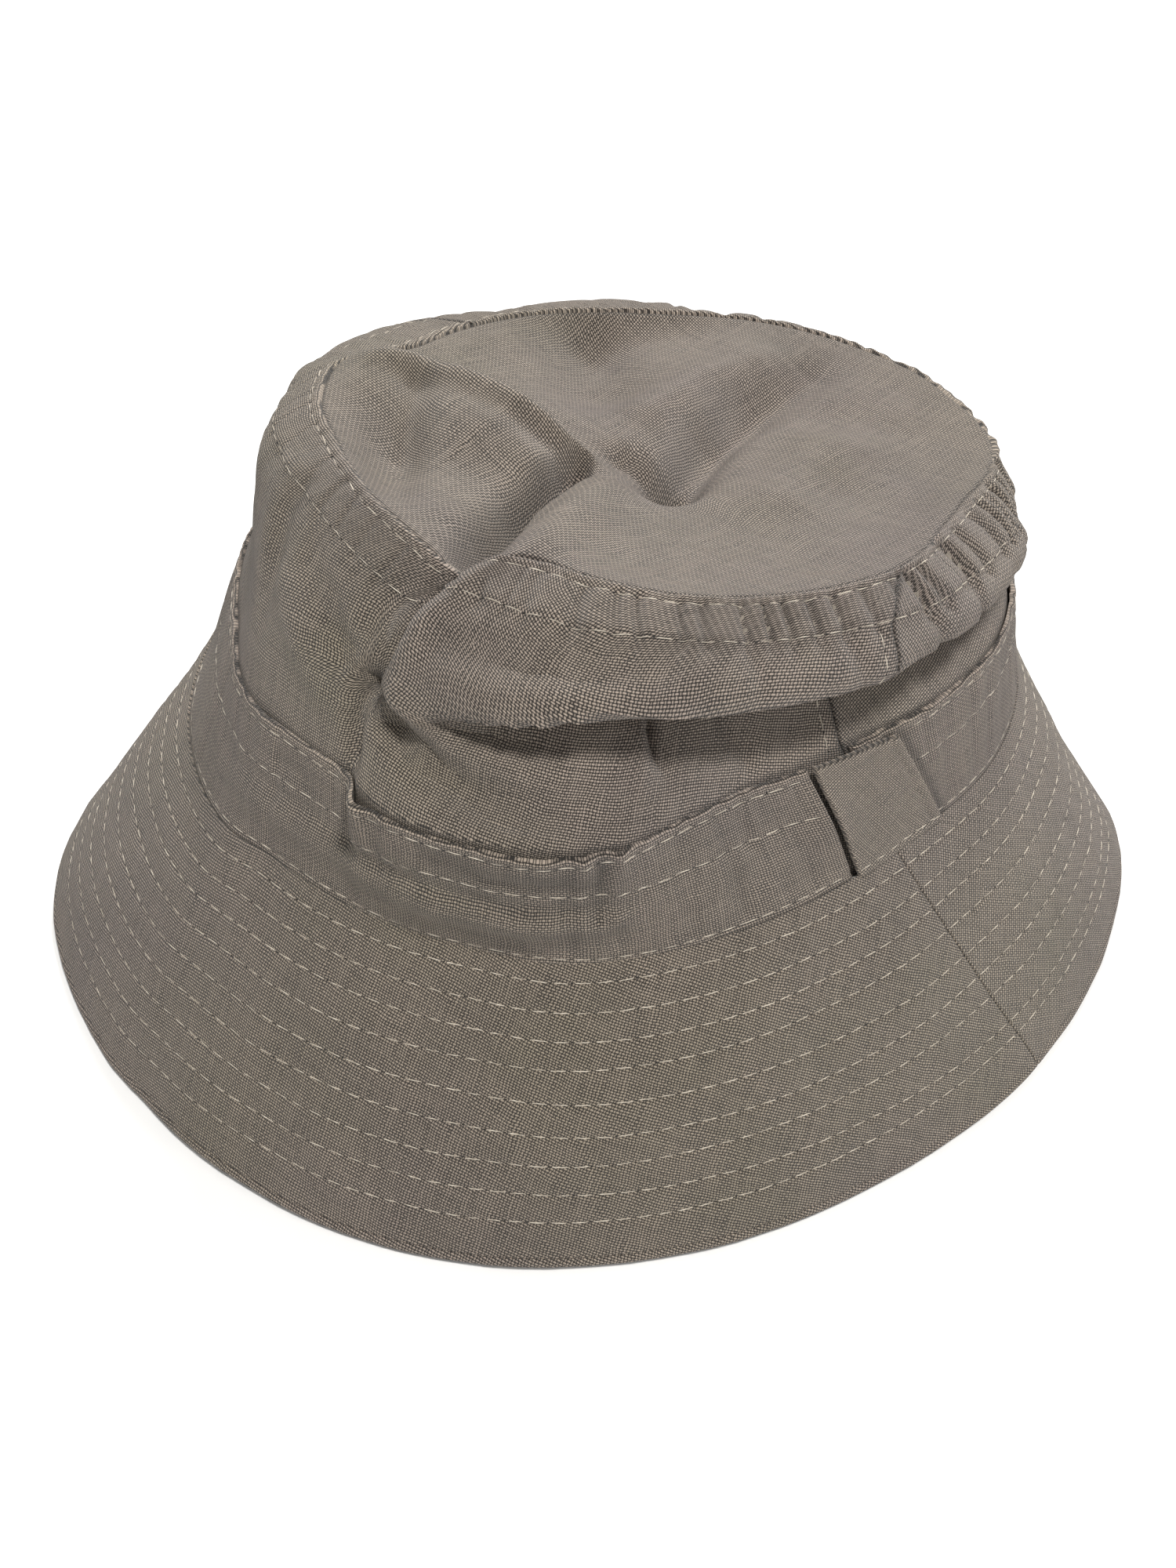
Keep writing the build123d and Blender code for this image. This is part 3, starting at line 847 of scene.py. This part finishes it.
def taken_up(height, place, axis):
    """How far the flat cloth is shifted to either side to fill the folds, fading away from them."""
    height, place = np.moveaxis(height, axis, 0), np.moveaxis(place, axis, 0)
    gaps = np.maximum(np.gradient(place, axis=0), 0.02)
    slope = np.clip(np.gradient(height, axis=0) / gaps, -4, 4)
    extra = (np.hypot(1, slope) - 1) * gaps / 2
    shift = np.zeros(extra.shape)
    for way in (1, -1):
        carried = np.zeros(extra.shape[1:])
        for i in range(len(extra))[::way]:
            carried = carried * np.exp(-gaps[i] / FOLD_REACH) + extra[i]
            shift[i] += way * carried
    return np.moveaxis(shift, 0, axis)


def unfolded(x, y):
    """Where points of the tip lie on the flat cloth."""
    axis = np.arange(-90, 90, 0.5)
    grid = np.meshgrid(axis, axis, indexing="ij")
    height = folds(*grid, TIP_FOLDS)
    at_x, at_y = (x - axis[0]) / 0.5, (y - axis[0]) / 0.5
    i, j = at_x.astype(int), at_y.astype(int)
    part_x, part_y = at_x - i, at_y - j
    places = []
    for direction, place in enumerate((x, y)):
        shift = taken_up(height, grid[direction], direction)
        near_side = shift[i, j] * (1 - part_y) + shift[i, j + 1] * part_y
        far_side = shift[i + 1, j] * (1 - part_y) + shift[i + 1, j + 1] * part_y
        places.append(place + near_side * (1 - part_x) + far_side * part_x)
    return np.stack(places, -1)


def make_tip():
    deg = np.linspace(180, -180, 640, endpoint=False)  # backwards, so that its normals point up
    sheet = Sheet(tip_points(deg), closed=True)
    sheet.normals[0] = (0, 0, 1)
    length = sheet.length()
    fine = [0, .02, .09, .22, .45, .75, 1.1, 1.6, 2.3]
    from_edge = np.concatenate([fine, np.arange(3.1, 12, .8)])
    inner = np.linspace(1, 0.004, 58)[1:, None]
    inner_rows = from_edge[-1] + (length - from_edge[-1]) * (1 - inner)
    rows = np.concatenate([from_edge[:, None] + 0 * length, inner_rows])
    run = (length - rows)[::-1]
    points, normals = sheet.at(run)
    edge = rows[::-1]
    seam = arc_along(tip_ring(deg))
    pulled = around(deg, {-150: .15, -60: .25, -30: .5, 0: .9, 40: .7, 90: .3, 180: .2})
    height = crown_ripples(points) * np.clip(edge / 14, 0.15, 1)
    height += 0.15 * near(edge, 0, 5, 4) - rounded(edge, TIP_ROLL)
    height += creases(seam, seam[-1], 21, 6.5, 0.9) * pulled * 0.35 * np.exp(-edge / 3.0)
    front = lifted(points, normals, height)
    back = lifted(points, normals, np.minimum(height, 0) - CANVAS)
    cloth = unfolded(points[..., 0], points[..., 1])
    # Painted shade: a dark line in the groove of the tip seam, and along the tip's closed crease.
    worn_and_shaded = -1.9 * hump(edge, 0, 0.8)
    worn_and_shaded += folds(points[..., 0], points[..., 1], TIP_CREASE_SHADE)
    cloth_piece("crown_tip", "crown_canvas", front, back, cloth, worn_and_shaded,
                closed=True, middle=True)


def panel_columns(low_deg, high_deg, step_mm, edge, ring_r):
    """Shares of the way round a panel, close together at its two ends."""
    span = math.radians(high_deg - low_deg) * ring_r
    return spread(span, step_mm, edge) / span


def seam_drop(along, total, radius):
    """The rounding at a panel's two ends, and each point's distance from the nearer one."""
    distance = np.minimum(along, total - along)
    return rounded(np.maximum(distance, 0), radius), distance


def side_folds(deg, climb, lines):
    """Folds whose points are an angle and a share of the way up the crown's side."""
    scaled = [
        (tuple((a * SIDE_MM_PER_DEG, c * SIDE_MM_PER_SHARE) for a, c in line), tall, wide)
        for line, tall, wide in lines
    ]
    return folds(deg * SIDE_MM_PER_DEG + 0 * climb, climb * SIDE_MM_PER_SHARE, scaled)


def make_side(name, low_deg, high_deg):
    """One panel of the crown's side. Its edge at the tip is turned in and stands proud."""
    share = panel_columns(low_deg, high_deg, 0.66, 0.8, 88)
    deg = low_deg + (high_deg - low_deg) * share
    sheet = Sheet(wall_points(deg))
    length = sheet.length()
    band = BAND_HEIGHT + 0 * length
    second = length - TIP_ROWS["tip_tape_stitching"]
    first = length - TIP_ROWS["tip_edge_stitching"]
    low_rows = between([0 * length, band - 2], [0, .2, .4, .6, .8])[:-1]
    mid_rows = between([band - 2, band + 4, second - 1.2], [k / 24 for k in range(24)])[12:-1]
    pad = [second - 1.2, second - .5, second, second + .5, second + 1.2]
    pad += [second + 1.2 + (first - second - 2.0) * k / 9 for k in range(1, 10)]
    pad += [first - .4, first, first + .4]
    roll = [length - SIDE_ROLL * k for k in (1.0, .62, .35, .15, .04, 0)]
    run = np.concatenate([low_rows, mid_rows, np.array(pad + roll)])
    run = np.maximum.accumulate(run, 0)
    points, normals = sheet.at(run)
    edge = length - run
    along = arc_along(tip_ring(deg))
    middle_along = arc_along(band_top_ring(deg))
    climb = np.clip((run - band) / (length - band), 0, 1)
    mixed = middle_along * (1 - climb) + along * climb
    total = mixed[:, -1:]
    dips, from_seam = seam_drop(mixed, total, 0.55)
    fade = np.clip((run - band) / 10, 0, 1) * np.clip(edge / 14, 0.25, 1)
    height = crown_ripples(points) * fade
    folded = side_folds(deg, climb, SIDE_FOLDS) * np.clip((run - band) / 4, 0, 1)
    height += folded
    padded = near(edge, 0, TIP_ROWS["tip_tape_stitching"] - 0.4, 1.4)
    height += SEAM_PAD * padded
    pulled = around(deg, {-170: .3, -100: .35, -60: .45, -45: .8, -30: 1.1, -10: 1.15, 10: 1.3,
                          40: 1.2, 80: .6, 150: .4})
    strip = near(edge, 3.0, TIP_ROWS["tip_tape_stitching"] + 1.0, 2.4)
    seam_way = np.gradient(points[-1], axis=0)
    seam_way /= np.linalg.norm(seam_way, axis=-1, keepdims=True)
    square_on = along + ((points - points[-1]) * seam_way).sum(-1)
    short = creases(square_on, along[-1], 37, 5.4, 0.75) * pulled
    height += short * 1.7 * strip
    height += 0.10 * np.cos(along * 2 * math.pi / STITCH) * near(edge, 0, 2.2, 1.5)
    long_strip = near(edge, 0, 19, 6)
    height += creases(square_on, along[-1], 32, 12, 1.6) * pulled * 1.0 * long_strip
    for row_at in TIP_ROWS.values():
        height -= 0.22 * hump(edge, row_at, ROW_GROOVE)
    height -= rounded(edge, SIDE_ROLL)
    height -= dips * np.clip((run - 2) / 4, 0, 1)
    height += 0.35 * hump(from_seam, 0, 3.5) * np.clip((run - band) / 6, 0, 1)
    behind = run < band - 0.5
    height = np.where(behind, 0, height)
    front = lifted(points, normals, height)
    back = lifted(points, normals, np.minimum(height, 0) * 0.8 - CANVAS)
    extra = [taken_up(folded, place, axis) for axis, place in enumerate((run, mixed))]
    cloth = cone_cloth(middle_along + extra[1], run + extra[0], -330.0)
    # Paler where the turned edge is rubbed. Painted shade: in the closed crease at the pinch, in the
    # short creases of the stitched strip, in the groove over the band's top edge and along the side
    # seams.
    worn_and_shaded = hump(edge, 1.0, 0.8) * 0.7 + side_folds(deg, climb, SIDE_CREASE_SHADE)
    worn_and_shaded += short * 0.8 * strip
    worn_and_shaded -= 1.4 * hump(run - band, 0.3, 0.8)
    worn_and_shaded -= 1.8 * hump(from_seam, 0, 0.7)
    cloth_piece(name, "crown_canvas", front, back, cloth, worn_and_shaded)
    rows = {}
    for row_name, below in TIP_ROWS.items():
        row = nearest_to(edge[:, 0], below)
        rows[row_name] = (front[row], normals[row], back[row])
    return {"front": front, "normals": normals, "back": back, "rows": rows, "run": run,
            "along": mixed, "length": length}


def make_tip_stitching():
    """The two rows round the crown below the tip seam, outside and inside."""
    for index, row_name in enumerate(TIP_ROWS):
        lines = []
        for panel in (side_front, side_back):
            line, normals, back = panel["rows"][row_name]
            lines.append((line, normals))
            lines.append((back - normals * (TAPE + LAYER_GAP), -normals))
        stitch_piece(row_name, lines, 40 + index)


# ---------------------------------------------------------------- inside the crown
def joined(first, second, rows, first_columns, second_columns):
    """Rows of two panels side by side: the inner face, and the outward normals."""
    inner = np.concatenate([first["back"][rows][:, first_columns],
                            second["back"][rows][:, second_columns]], 1)
    normals = np.concatenate([first["normals"][rows][:, first_columns],
                              second["normals"][rows][:, second_columns]], 1)
    return inner, normals


def tape_piece(node, inner, normals, closed=False):
    """A tape sewn against the inner face of the crown, seen from inside the hat."""
    outer = (inner - LAYER_GAP * normals)[:, ::-1]
    seen = (inner - TAPE * normals)[:, ::-1]
    run = arc_along(seen[:, seen.shape[1] // 2])
    cloth = strip_cloth(arc_along(seen[len(seen) // 2]), run[:, None])
    cloth_piece(node, "seam_tape", seen, outer, cloth, closed=closed)


def make_tapes():
    """The tape round the tip seam, and one over each side seam below it."""
    edge = side_front["length"][0] - side_front["run"][:, 0]
    inner, normals = joined(side_front, side_back, edge < TIP_TAPE, slice(None), slice(1, -1))
    tape_piece("tip_seam_tape", inner, normals, closed=True)
    rows = edge > TIP_TAPE - 1.0
    middle = len(edge) // 2
    for side, first, second in (("right", side_front, side_back), ("left", side_back, side_front)):
        first_end = first["along"][middle] > first["along"][middle][-1] - SIDE_TAPE / 2
        second_start = second["along"][middle] < SIDE_TAPE / 2
        second_start[0] = False
        inner, normals = joined(first, second, rows, first_end, second_start)
        tape_piece(f"side_seam_tape_{side}", inner, normals)


def make_sweatband():
    """The doubled strip that touches the head, with a stitched fold along its free edge."""
    deg = np.linspace(-180, 180, 420, endpoint=False)
    sheet = Sheet(wall_points(deg), closed=True)
    height = SWEATBAND_HEIGHT
    fine = np.array([0, .04, .15, .35, .6])
    by_the_fold = height - 3 + np.array([0, .5, 1, 1.6, 2.2])
    rows = np.concatenate([np.arange(0.3, height - 3.2, 1.6), by_the_fold, height - fine[::-1]])
    run = rows[:, None] + 0 * deg
    points, normals = sheet.at(run)
    depth = CANVAS + TAPE + 0.04
    wave = ripples(points, 9, (24, 11), (0.25, 0.1)) * np.clip(rows / 12, 0, 1)[:, None]
    wave = np.minimum(wave, 0.12)
    fold = rounded(height - run, 0.45)
    row_at = height - 2.0
    groove = 0.15 * hump(run, row_at, 0.6)
    outer = lifted(points, normals, -(depth - np.minimum(wave, 0) + 0.3 * fold))
    seen = lifted(points, normals, -(depth + SWEATBAND - wave - fold - groove))
    cloth = strip_cloth(arc_along(points[0]), run)
    cloth_piece("sweatband", "sweatband_cotton", seen[:, ::-1], outer[:, ::-1], cloth[:, ::-1],
                closed=True)


def make_side_seam_stitching():
    """A row in front of each side seam, from the band up to the tip's rows."""
    edge = side_front["length"][0] - side_front["run"][:, 0]
    above_band = side_front["run"][:, 0] > BAND_HEIGHT + 1
    rows = np.where(above_band & (edge > TIP_ROWS["tip_tape_stitching"] + 1))[0]
    along = side_front["along"][rows[0]]
    places = {
        "side_seam_stitching_right": along[-1] - SIDE_STITCH,
        "side_seam_stitching_left": SIDE_STITCH,
    }
    for index, (name, place) in enumerate(places.items()):
        column = nearest_to(along, place)
        normals = side_front["normals"][rows, column]
        inner = side_front["back"][rows, column] - (TAPE + LAYER_GAP) * normals
        lines = [(side_front["front"][rows, column], normals), (inner, -normals)]
        stitch_piece(name, lines, 60 + index)


# ---------------------------------------------------------------- the band and its tab
def leaning(shares, rows, start, end):
    """Angles of a panel whose two sides lean: start and end are (low, high) angles."""
    climb = np.linspace(0, 1, rows)[:, None]
    first = start[0] + (start[1] - start[0]) * climb
    last = end[0] + (end[1] - end[0]) * climb
    return first + (last - first) * shares


def band_sheet(shares, start, end):
    """The flat surface that the band and its tab are laid on, a little taller than the band."""
    deg = leaning(shares, 161, start, end)
    climb = np.linspace(0, 1.04, 161)[:, None, None]
    low, top = seam_ring(deg), band_top_ring(deg)
    return Sheet(low + (top - low) * climb)


def band_folds(deg, run, lines):
    """Folds whose points are an angle and a distance up from the brim seam."""
    scaled = [
        (tuple((a * BAND_MM_PER_DEG, r) for a, r in line), tall, wide)
        for line, tall, wide in lines
    ]
    wrapped = (deg + 180) % 360 - 180
    return folds(wrapped * BAND_MM_PER_DEG, run, scaled)


def band_height(points, deg, run):
    """How far the band's cloth stands off its smooth shape."""
    waves = ripples(points, 7, (30, 13), (0.34, 0.12)) * near(run, 4, BAND_HEIGHT, 3)
    return waves + band_folds(deg, run, BAND_FOLDS)


BAND_FOOT_ROLL = 1.1  # the rounding of the band's lower edge, and of its upper one
BAND_TOP_ROLL = 0.7


def make_band():
    """The doubled band. Its ends meet under the tab, and one stands open beside it."""
    start = (TAB_LOW[0] + 6, TAB_HIGH[0] + 6)
    end = (TAB_LOW[0] - TAB_GAP + 360, TAB_HIGH[0] - TAB_GAP + 360)
    shares = panel_columns(start[0], end[0], 0.95, 0.8, 93)
    sheet = band_sheet(shares, start, end)
    zero = 0 * shares
    rows_at = [BAND_HEIGHT - below for below in BAND_ROWS.values()][::-1]
    pattern = [0, .05, .12, .22, .34, .46, .58, .70, .80, .90]
    knots = [BAND_FOOT_ROLL, *rows_at, BAND_HEIGHT - BAND_TOP_ROLL]
    middle = np.concatenate([
        between(knots[0:2], [0, .45, .75]), between(knots[1:3], [k / 22 for k in range(22)])[1:],
        between(knots[2:4], pattern)[1:], between(knots[3:5], [0, .25, .5, .75])[1:],
    ])
    low = BAND_FOOT_ROLL * np.array([0, .03, .12, .3, .6])
    high = BAND_HEIGHT - BAND_TOP_ROLL * np.array([.6, .35, .15, .04, 0])
    run = np.concatenate([low, middle, high])[:, None] + zero
    points, normals = sheet.at(run)
    deg = leaning(shares, len(run), start, end)
    height = band_height(points, deg, run)
    along = arc_along(points[len(run) // 2])
    tug = around(deg, {-170: .5, -95: .5, -60: .4, -40: .8, -15: .8, 20: 1, 60: .6})
    puckers = creases(along, along[-1], 51, 9, 1.2) * tug * near(run, 5, BAND_HEIGHT, 3)
    short = creases(along, along[-1], 52, 5.0, 0.8) * tug * near(run, BAND_HEIGHT - 12, BAND_HEIGHT, 2)
    height += 0.75 * puckers + 0.45 * short
    for row_at in rows_at:
        height -= 0.20 * hump(run, row_at, ROW_GROOVE)
    height = np.maximum(height, 0.6 * near(run, BAND_HEIGHT - 2.5, BAND_HEIGHT, 3) - 0.95)
    dips, _ = seam_drop(along, along[-1], 0.6)
    flare = hump(along[-1] - along, 0, 5.0) * np.sin(math.pi * np.clip(run / 33, 0, 1)) ** 2
    height += 1.5 * flare
    stand_off = np.maximum(height, 0)
    height -= dips + rounded(run, BAND_FOOT_ROLL) + rounded(BAND_HEIGHT - run, BAND_TOP_ROLL)
    front = lifted(points, normals, DOUBLED + height)
    back = lifted(points, normals, 0.03 + stand_off)
    # Paler where the top fold is rubbed. Painted shade in the puckers and in the band's creases.
    worn_and_shaded = hump(BAND_HEIGHT - run, 0.5, 0.7) * 0.8
    worn_and_shaded += 0.45 * puckers + 0.35 * short + band_folds(deg, run, BAND_CREASE_SHADE)
    tab_side = TAB_LOW[1] + (TAB_HIGH[1] - TAB_LOW[1]) * run / BAND_HEIGHT
    from_tab = (deg - tab_side) * BAND_MM_PER_DEG
    # Painted shade on the band beside the tab's raised edge.
    worn_and_shaded -= 1.6 * hump(from_tab, 1.6, 1.0)
    cloth = strip_cloth(along, run)
    cloth_piece("hat_band", "band_canvas", front, back, cloth, worn_and_shaded)
    return {"front": front, "normals": normals, "run": run, "deg": deg, "along": along}


def make_tab():
    """The doubled tab over the band's ends, lifted a little along its open side."""
    width = math.radians(TAB_LOW[1] - TAB_LOW[0]) * OVAL * SEAM_R
    shares = spread(width, 0.6, 0.75) / width
    start, end = (TAB_LOW[0], TAB_HIGH[0]), (TAB_LOW[1], TAB_HIGH[1])
    sheet = band_sheet(shares, start, end)
    tall = BAND_HEIGHT + 0.9
    rows = spread(tall, 0.7, 0.9)
    run = rows[:, None] + 0 * shares
    points, normals = sheet.at(run)
    deg = leaning(shares, len(run), start, end)
    along = shares * width
    height = band_height(points, deg, run)
    height += ripples(points, 13, (16, 8), (0.16, 0.06))
    lift = 1.3 * hump(along, 0, 4.5) * np.sin(math.pi * np.clip(run / 34, 0, 1)) ** 2
    height += lift
    height -= 0.28 * hump(width - along, 2.8, 0.5) * near(run, 3, tall, 2)
    height -= 0.28 * hump(run, TAB_ROW, 0.6)
    height += 0.45 * near(run, BAND_HEIGHT - 1.5, tall, 2)
    dips, _ = seam_drop(along, width, 0.6)
    height -= dips + rounded(run, BAND_FOOT_ROLL) + rounded(tall - run, 0.6)
    front = lifted(points, normals, 2 * DOUBLED + height)
    hollow = 0.9 * lift + 0.55 * near(run, tall - 0.5, tall, 1.5)
    back = lifted(points, normals, DOUBLED + 0.25 + hollow)
    edge = np.minimum(np.minimum(along, width - along), tall - run)
    # Paler where its edges are rubbed, and painted shade along its top edge.
    worn_and_shaded = hump(edge, 0.5, 0.6) * 0.6 - 2.2 * hump(tall - run, 0, 0.35)
    cloth = np.stack([along * 0.94 + run * 0.34, run * 0.94 - along * 0.34], -1)
    cloth_piece("band_tab", "tab_canvas", front, back, cloth, worn_and_shaded)
    return {"front": front, "normals": normals, "run": run}


def make_band_stitching():
    """Needle threads on the band and bobbin threads inside the crown. The lowest row also
    crosses the tab."""
    for index, (name, below) in enumerate(BAND_ROWS.items()):
        row_at = BAND_HEIGHT - below
        row = nearest_to(band["run"][:, 0], row_at)
        clear = band["deg"][row] > TAB_LOW[1] - 1.0
        clear &= band["along"] < band["along"][-1] - 1.2
        lines = [(band["front"][row][clear], band["normals"][row][clear])]
        if name == "band_bottom_stitching":
            tab_row = nearest_to(tab["run"][:, 0], TAB_ROW)
            lines.append((tab["front"][tab_row][2:-2], tab["normals"][tab_row][2:-2]))
        deg = np.linspace(-180, 180, 400)
        sheet = Sheet(wall_points(deg))
        points, normals = sheet.at(np.full((1, 400), row_at))
        depth = CANVAS + (TAPE + SWEATBAND + 0.06 if row_at < SWEATBAND_HEIGHT else LAYER_GAP)
        lines.append((points[0] - depth * normals[0], -normals[0]))
        stitch_piece(name, lines, 70 + index)


# ---------------------------------------------------------------- the brim
def brim_row_run(row, deg, length):
    """How far from the brim seam a row of stitches runs, by angle."""
    flat = math.hypot(BRIM_R - SEAM_R, SEAM_Z)
    run = BRIM_FIRST_ROW + row * BRIM_ROW_PITCH + ROW_SHIFT.get(row, 0)
    run = run + 0.28 * np.sin(np.radians(deg) * (2 + row % 3) + row * 1.9)
    drift = around(deg, {-60: 0, -25: .5, 0: 1, 25: .5, 60: 0, 180: 0})
    run = run + drift * {BRIM_ROW_COUNT - 2: 1.3, BRIM_ROW_COUNT - 1: -1.2}.get(row, 0)
    return run * length / flat


def make_brim(name, start, end, seed):
    """Half of the brim: top cloth turned round the edge, interlining and under cloth."""
    shares = panel_columns(start[0], end[0], 1.15, 0.6, 115)
    deg_fine = leaning(shares, 201, start, end)
    sheet = Sheet(brim_points(deg_fine))
    length = sheet.length()
    deg_at_row = leaning(shares, BRIM_ROW_COUNT + 2, start, end)
    row_runs = [brim_row_run(k, deg_at_row[k + 1], length) for k in range(BRIM_ROW_COUNT)]
    pattern = [0, .06, .13, .24, .37, .50, .63, .76, .87, .94]
    first = between(
        [0.9 + 0 * length, row_runs[0]], [0, .08, .14, .19, .24, .33, .45, .6, .75, .87, .94]
    )[:-1]
    middle = between(row_runs, pattern)
    last = between([row_runs[-1], length - 1.0], [0, .05, .12, .25, .4, .55, .7, .85])[1:]
    low = np.array([0, .03, .12, .3, .6])[:, None] * 0.9 + 0 * length
    high = length - np.array([.6, .3, .12, .03, 0])[:, None] * 1.0
    run = np.concatenate([low, first, middle, last, high])
    points, normals = sheet.at(run)
    edge = length - run
    along = arc_along(points[len(run) // 2])
    wave = ripples(points, 3, (75, 34, 16), (0.4, 0.22, 0.08)) * np.clip(run / 12, 0, 1)
    wave += creases(along, along[-1], seed, 9.0, 1.3) * 0.13 * near(run, 6, 60, 5)
    quilt = np.zeros(run.shape)
    for row_run in row_runs:
        quilt += hump(run, row_run, 0.62)
    dips, from_seam = seam_drop(along, along[-1], 0.7)
    welt = 0.55 * near(run, 0.2, 0.9, 0.5) - 0.55 * hump(run, 1.6, 0.42)
    top = wave + welt - 0.30 * quilt - dips - rounded(edge, 0.85)
    top += 0.28 * hump(from_seam, 0, 2.6) + 0.1 * near(edge, 0, 1.4, 0.8)
    bottom = wave - BRIM_CLOTH + 0.22 * quilt + 0.6 * dips + rounded(edge, 0.75)
    turned = edge < EDGE_TURN
    inner = np.where(turned, bottom, wave - CANVAS)
    front = lifted(points, normals, top)
    front[..., 2] = np.maximum(front[..., 2], 0.02)
    back = lifted(points, normals, np.minimum(inner, top - 0.12))
    back[..., 2] = np.maximum(back[..., 2], 0.01)
    seam_along = arc_along(points[0])
    cloth = cone_cloth(seam_along, run, 158.0)
    # Paler where the edge is rubbed, and painted shade in the groove of the seam between the two
    # halves.
    worn_and_shaded = hump(edge, 0.5, 0.8) * 0.55 - 2.8 * hump(from_seam, 0, 0.9)
    cloth_piece(f"brim_top_{name}", "brim_canvas", front, back, cloth, worn_and_shaded, stride=2)

    held = np.where(~turned[:, 0])[0]
    under_top = lifted(points, normals, wave - CANVAS - INTERLINING_MM - LAYER_GAP)
    under_low = lifted(points, normals, np.minimum(bottom, wave - CANVAS - INTERLINING_MM - 0.14))
    under_low[..., 2] = np.maximum(under_low[..., 2], 0.015)
    cloth_piece(f"brim_under_{name}", "brim_under_canvas", under_low[held][:, ::-1],
                under_top[held][:, ::-1], cloth[held][:, ::-1])

    rows = held[::5]
    columns = slice(2, -2)
    mid_top = lifted(points, normals, wave - CANVAS - 0.03)
    mid_low = lifted(points, normals, wave - CANVAS - INTERLINING_MM)
    cloth_piece(f"brim_interlining_{name}", "interlining", mid_top[rows][:, columns],
                mid_low[rows][:, columns], cloth[rows][:, columns], stride=1)
    lines = []
    for row_run in row_runs:
        row = nearest_to(run[:, 5], row_run[5])
        lines.append((front[row], normals[row], under_low[row]))
    return lines


def make_brim_stitching():
    """Each row's needle thread on the brim and bobbin thread under it."""
    for row in range(BRIM_ROW_COUNT):
        lines = []
        for panel in (brim_front, brim_back):
            needle, normals, bobbin = panel[row]
            lines.append((needle[3:-3], normals[3:-3]))
            lines.append((bobbin[3:-3], -normals[3:-3]))
        stitch_piece(f"brim_stitching_row_{row + 1}", lines, 80 + row)


make_tip()
side_front = make_side("crown_side_front", -180, CROWN_SEAM)
side_back = make_side("crown_side_back", CROWN_SEAM, 180)
make_tip_stitching()
make_tapes()
make_sweatband()
make_side_seam_stitching()
band = make_band()
tab = make_tab()
make_band_stitching()
brim_front = make_brim("front", (-180, -180), BRIM_SEAM, 91)
brim_back = make_brim("back", BRIM_SEAM, (180, 180), 92)
make_brim_stitching()


# ---------------------------------------------------------------- light, floor and camera
def make_camera():
    """The camera, where the photograph was taken from."""
    azimuth, elevation = math.radians(42.2), math.radians(38.1)
    distance, target = 0.389, Vector((0, 0, 0.060))
    pitch, yaw, roll = math.radians(-5.7), math.radians(0.5), math.radians(1.6)
    back = Vector((
        math.sin(azimuth) * math.cos(elevation), -math.cos(azimuth) * math.cos(elevation),
        math.sin(elevation),
    ))
    right = Vector((math.cos(azimuth), math.sin(azimuth), 0))
    forward = -back
    up = right.cross(forward)
    tilt = Matrix.Rotation(pitch, 3, right)
    forward, up = tilt @ forward, tilt @ up
    swing = Matrix.Rotation(yaw, 3, up)
    forward, right = swing @ forward, swing @ right
    right, up = (
        right * math.cos(roll) + up * math.sin(roll),
        up * math.cos(roll) - right * math.sin(roll),
    )
    data = bpy.data.cameras.new("camera")
    data.sensor_fit = "AUTO"
    data.sensor_width = 36.0
    data.lens = 39.6
    camera = bpy.data.objects.new("camera", data)
    bpy.context.collection.objects.link(camera)
    place = Matrix((right, up, -forward)).transposed().to_4x4()
    place.translation = target + back * distance
    camera.matrix_world = place
    bpy.context.scene.camera = camera


def area_light(name, at, size, power, colour, target=(0, 0, 0.06)):
    """A round soft light aimed at the hat."""
    data = bpy.data.lights.new(name, "AREA")
    data.shape = "DISK"
    data.size = size
    data.energy = power
    data.color = colour
    light = bpy.data.objects.new(name, data)
    light.location = at
    aim = Vector(target) - Vector(at)
    light.rotation_mode = "QUATERNION"
    light.rotation_quaternion = aim.to_track_quat("-Z", "Y")
    bpy.context.collection.objects.link(light)


def make_studio():
    """The white floor, the lights and the pale surroundings."""
    floor_mesh = bpy.data.meshes.new("floor")
    reach = 3.0
    floor_mesh.from_pydata(
        [(-reach, -reach, 0), (reach, -reach, 0), (reach, reach, 0), (-reach, reach, 0)],
        [], [(0, 1, 2, 3)],
    )
    floor = bpy.data.objects.new("floor", floor_mesh)
    bpy.context.collection.objects.link(floor)
    n = Nodes("floor_paper")
    grain = n.noise(n.position(), 60.0, 3.0)
    n.put(n.shader.inputs["Base Color"], n.mix(grain, (.86, .86, .86, 1), (.90, .90, .89, 1)))
    n.shader.inputs["Roughness"].default_value = 0.95
    floor_mesh.materials.append(n.material)
    world = bpy.data.worlds.new("studio")
    world.use_nodes = True
    world.node_tree.nodes["Background"].inputs["Color"].default_value = (1, 1, 1, 1)
    world.node_tree.nodes["Background"].inputs["Strength"].default_value = 0.27
    bpy.context.scene.world = world
    area_light("key", (0.56, -0.24, 1.37), 0.26, 19, (1, .985, .96))
    area_light("back", (-0.55, 0.8, 1.0), 0.4, 15, (1, .99, .975))
    area_light("side", (1.05, 0.35, 0.5), 0.3, 1.5, (1, .99, .98))
    area_light("front", (0.2, -1.2, 0.6), 1.0, 3, (1, .99, .98))
    bpy.context.scene.view_settings.view_transform = "Standard"


make_camera()
make_studio()
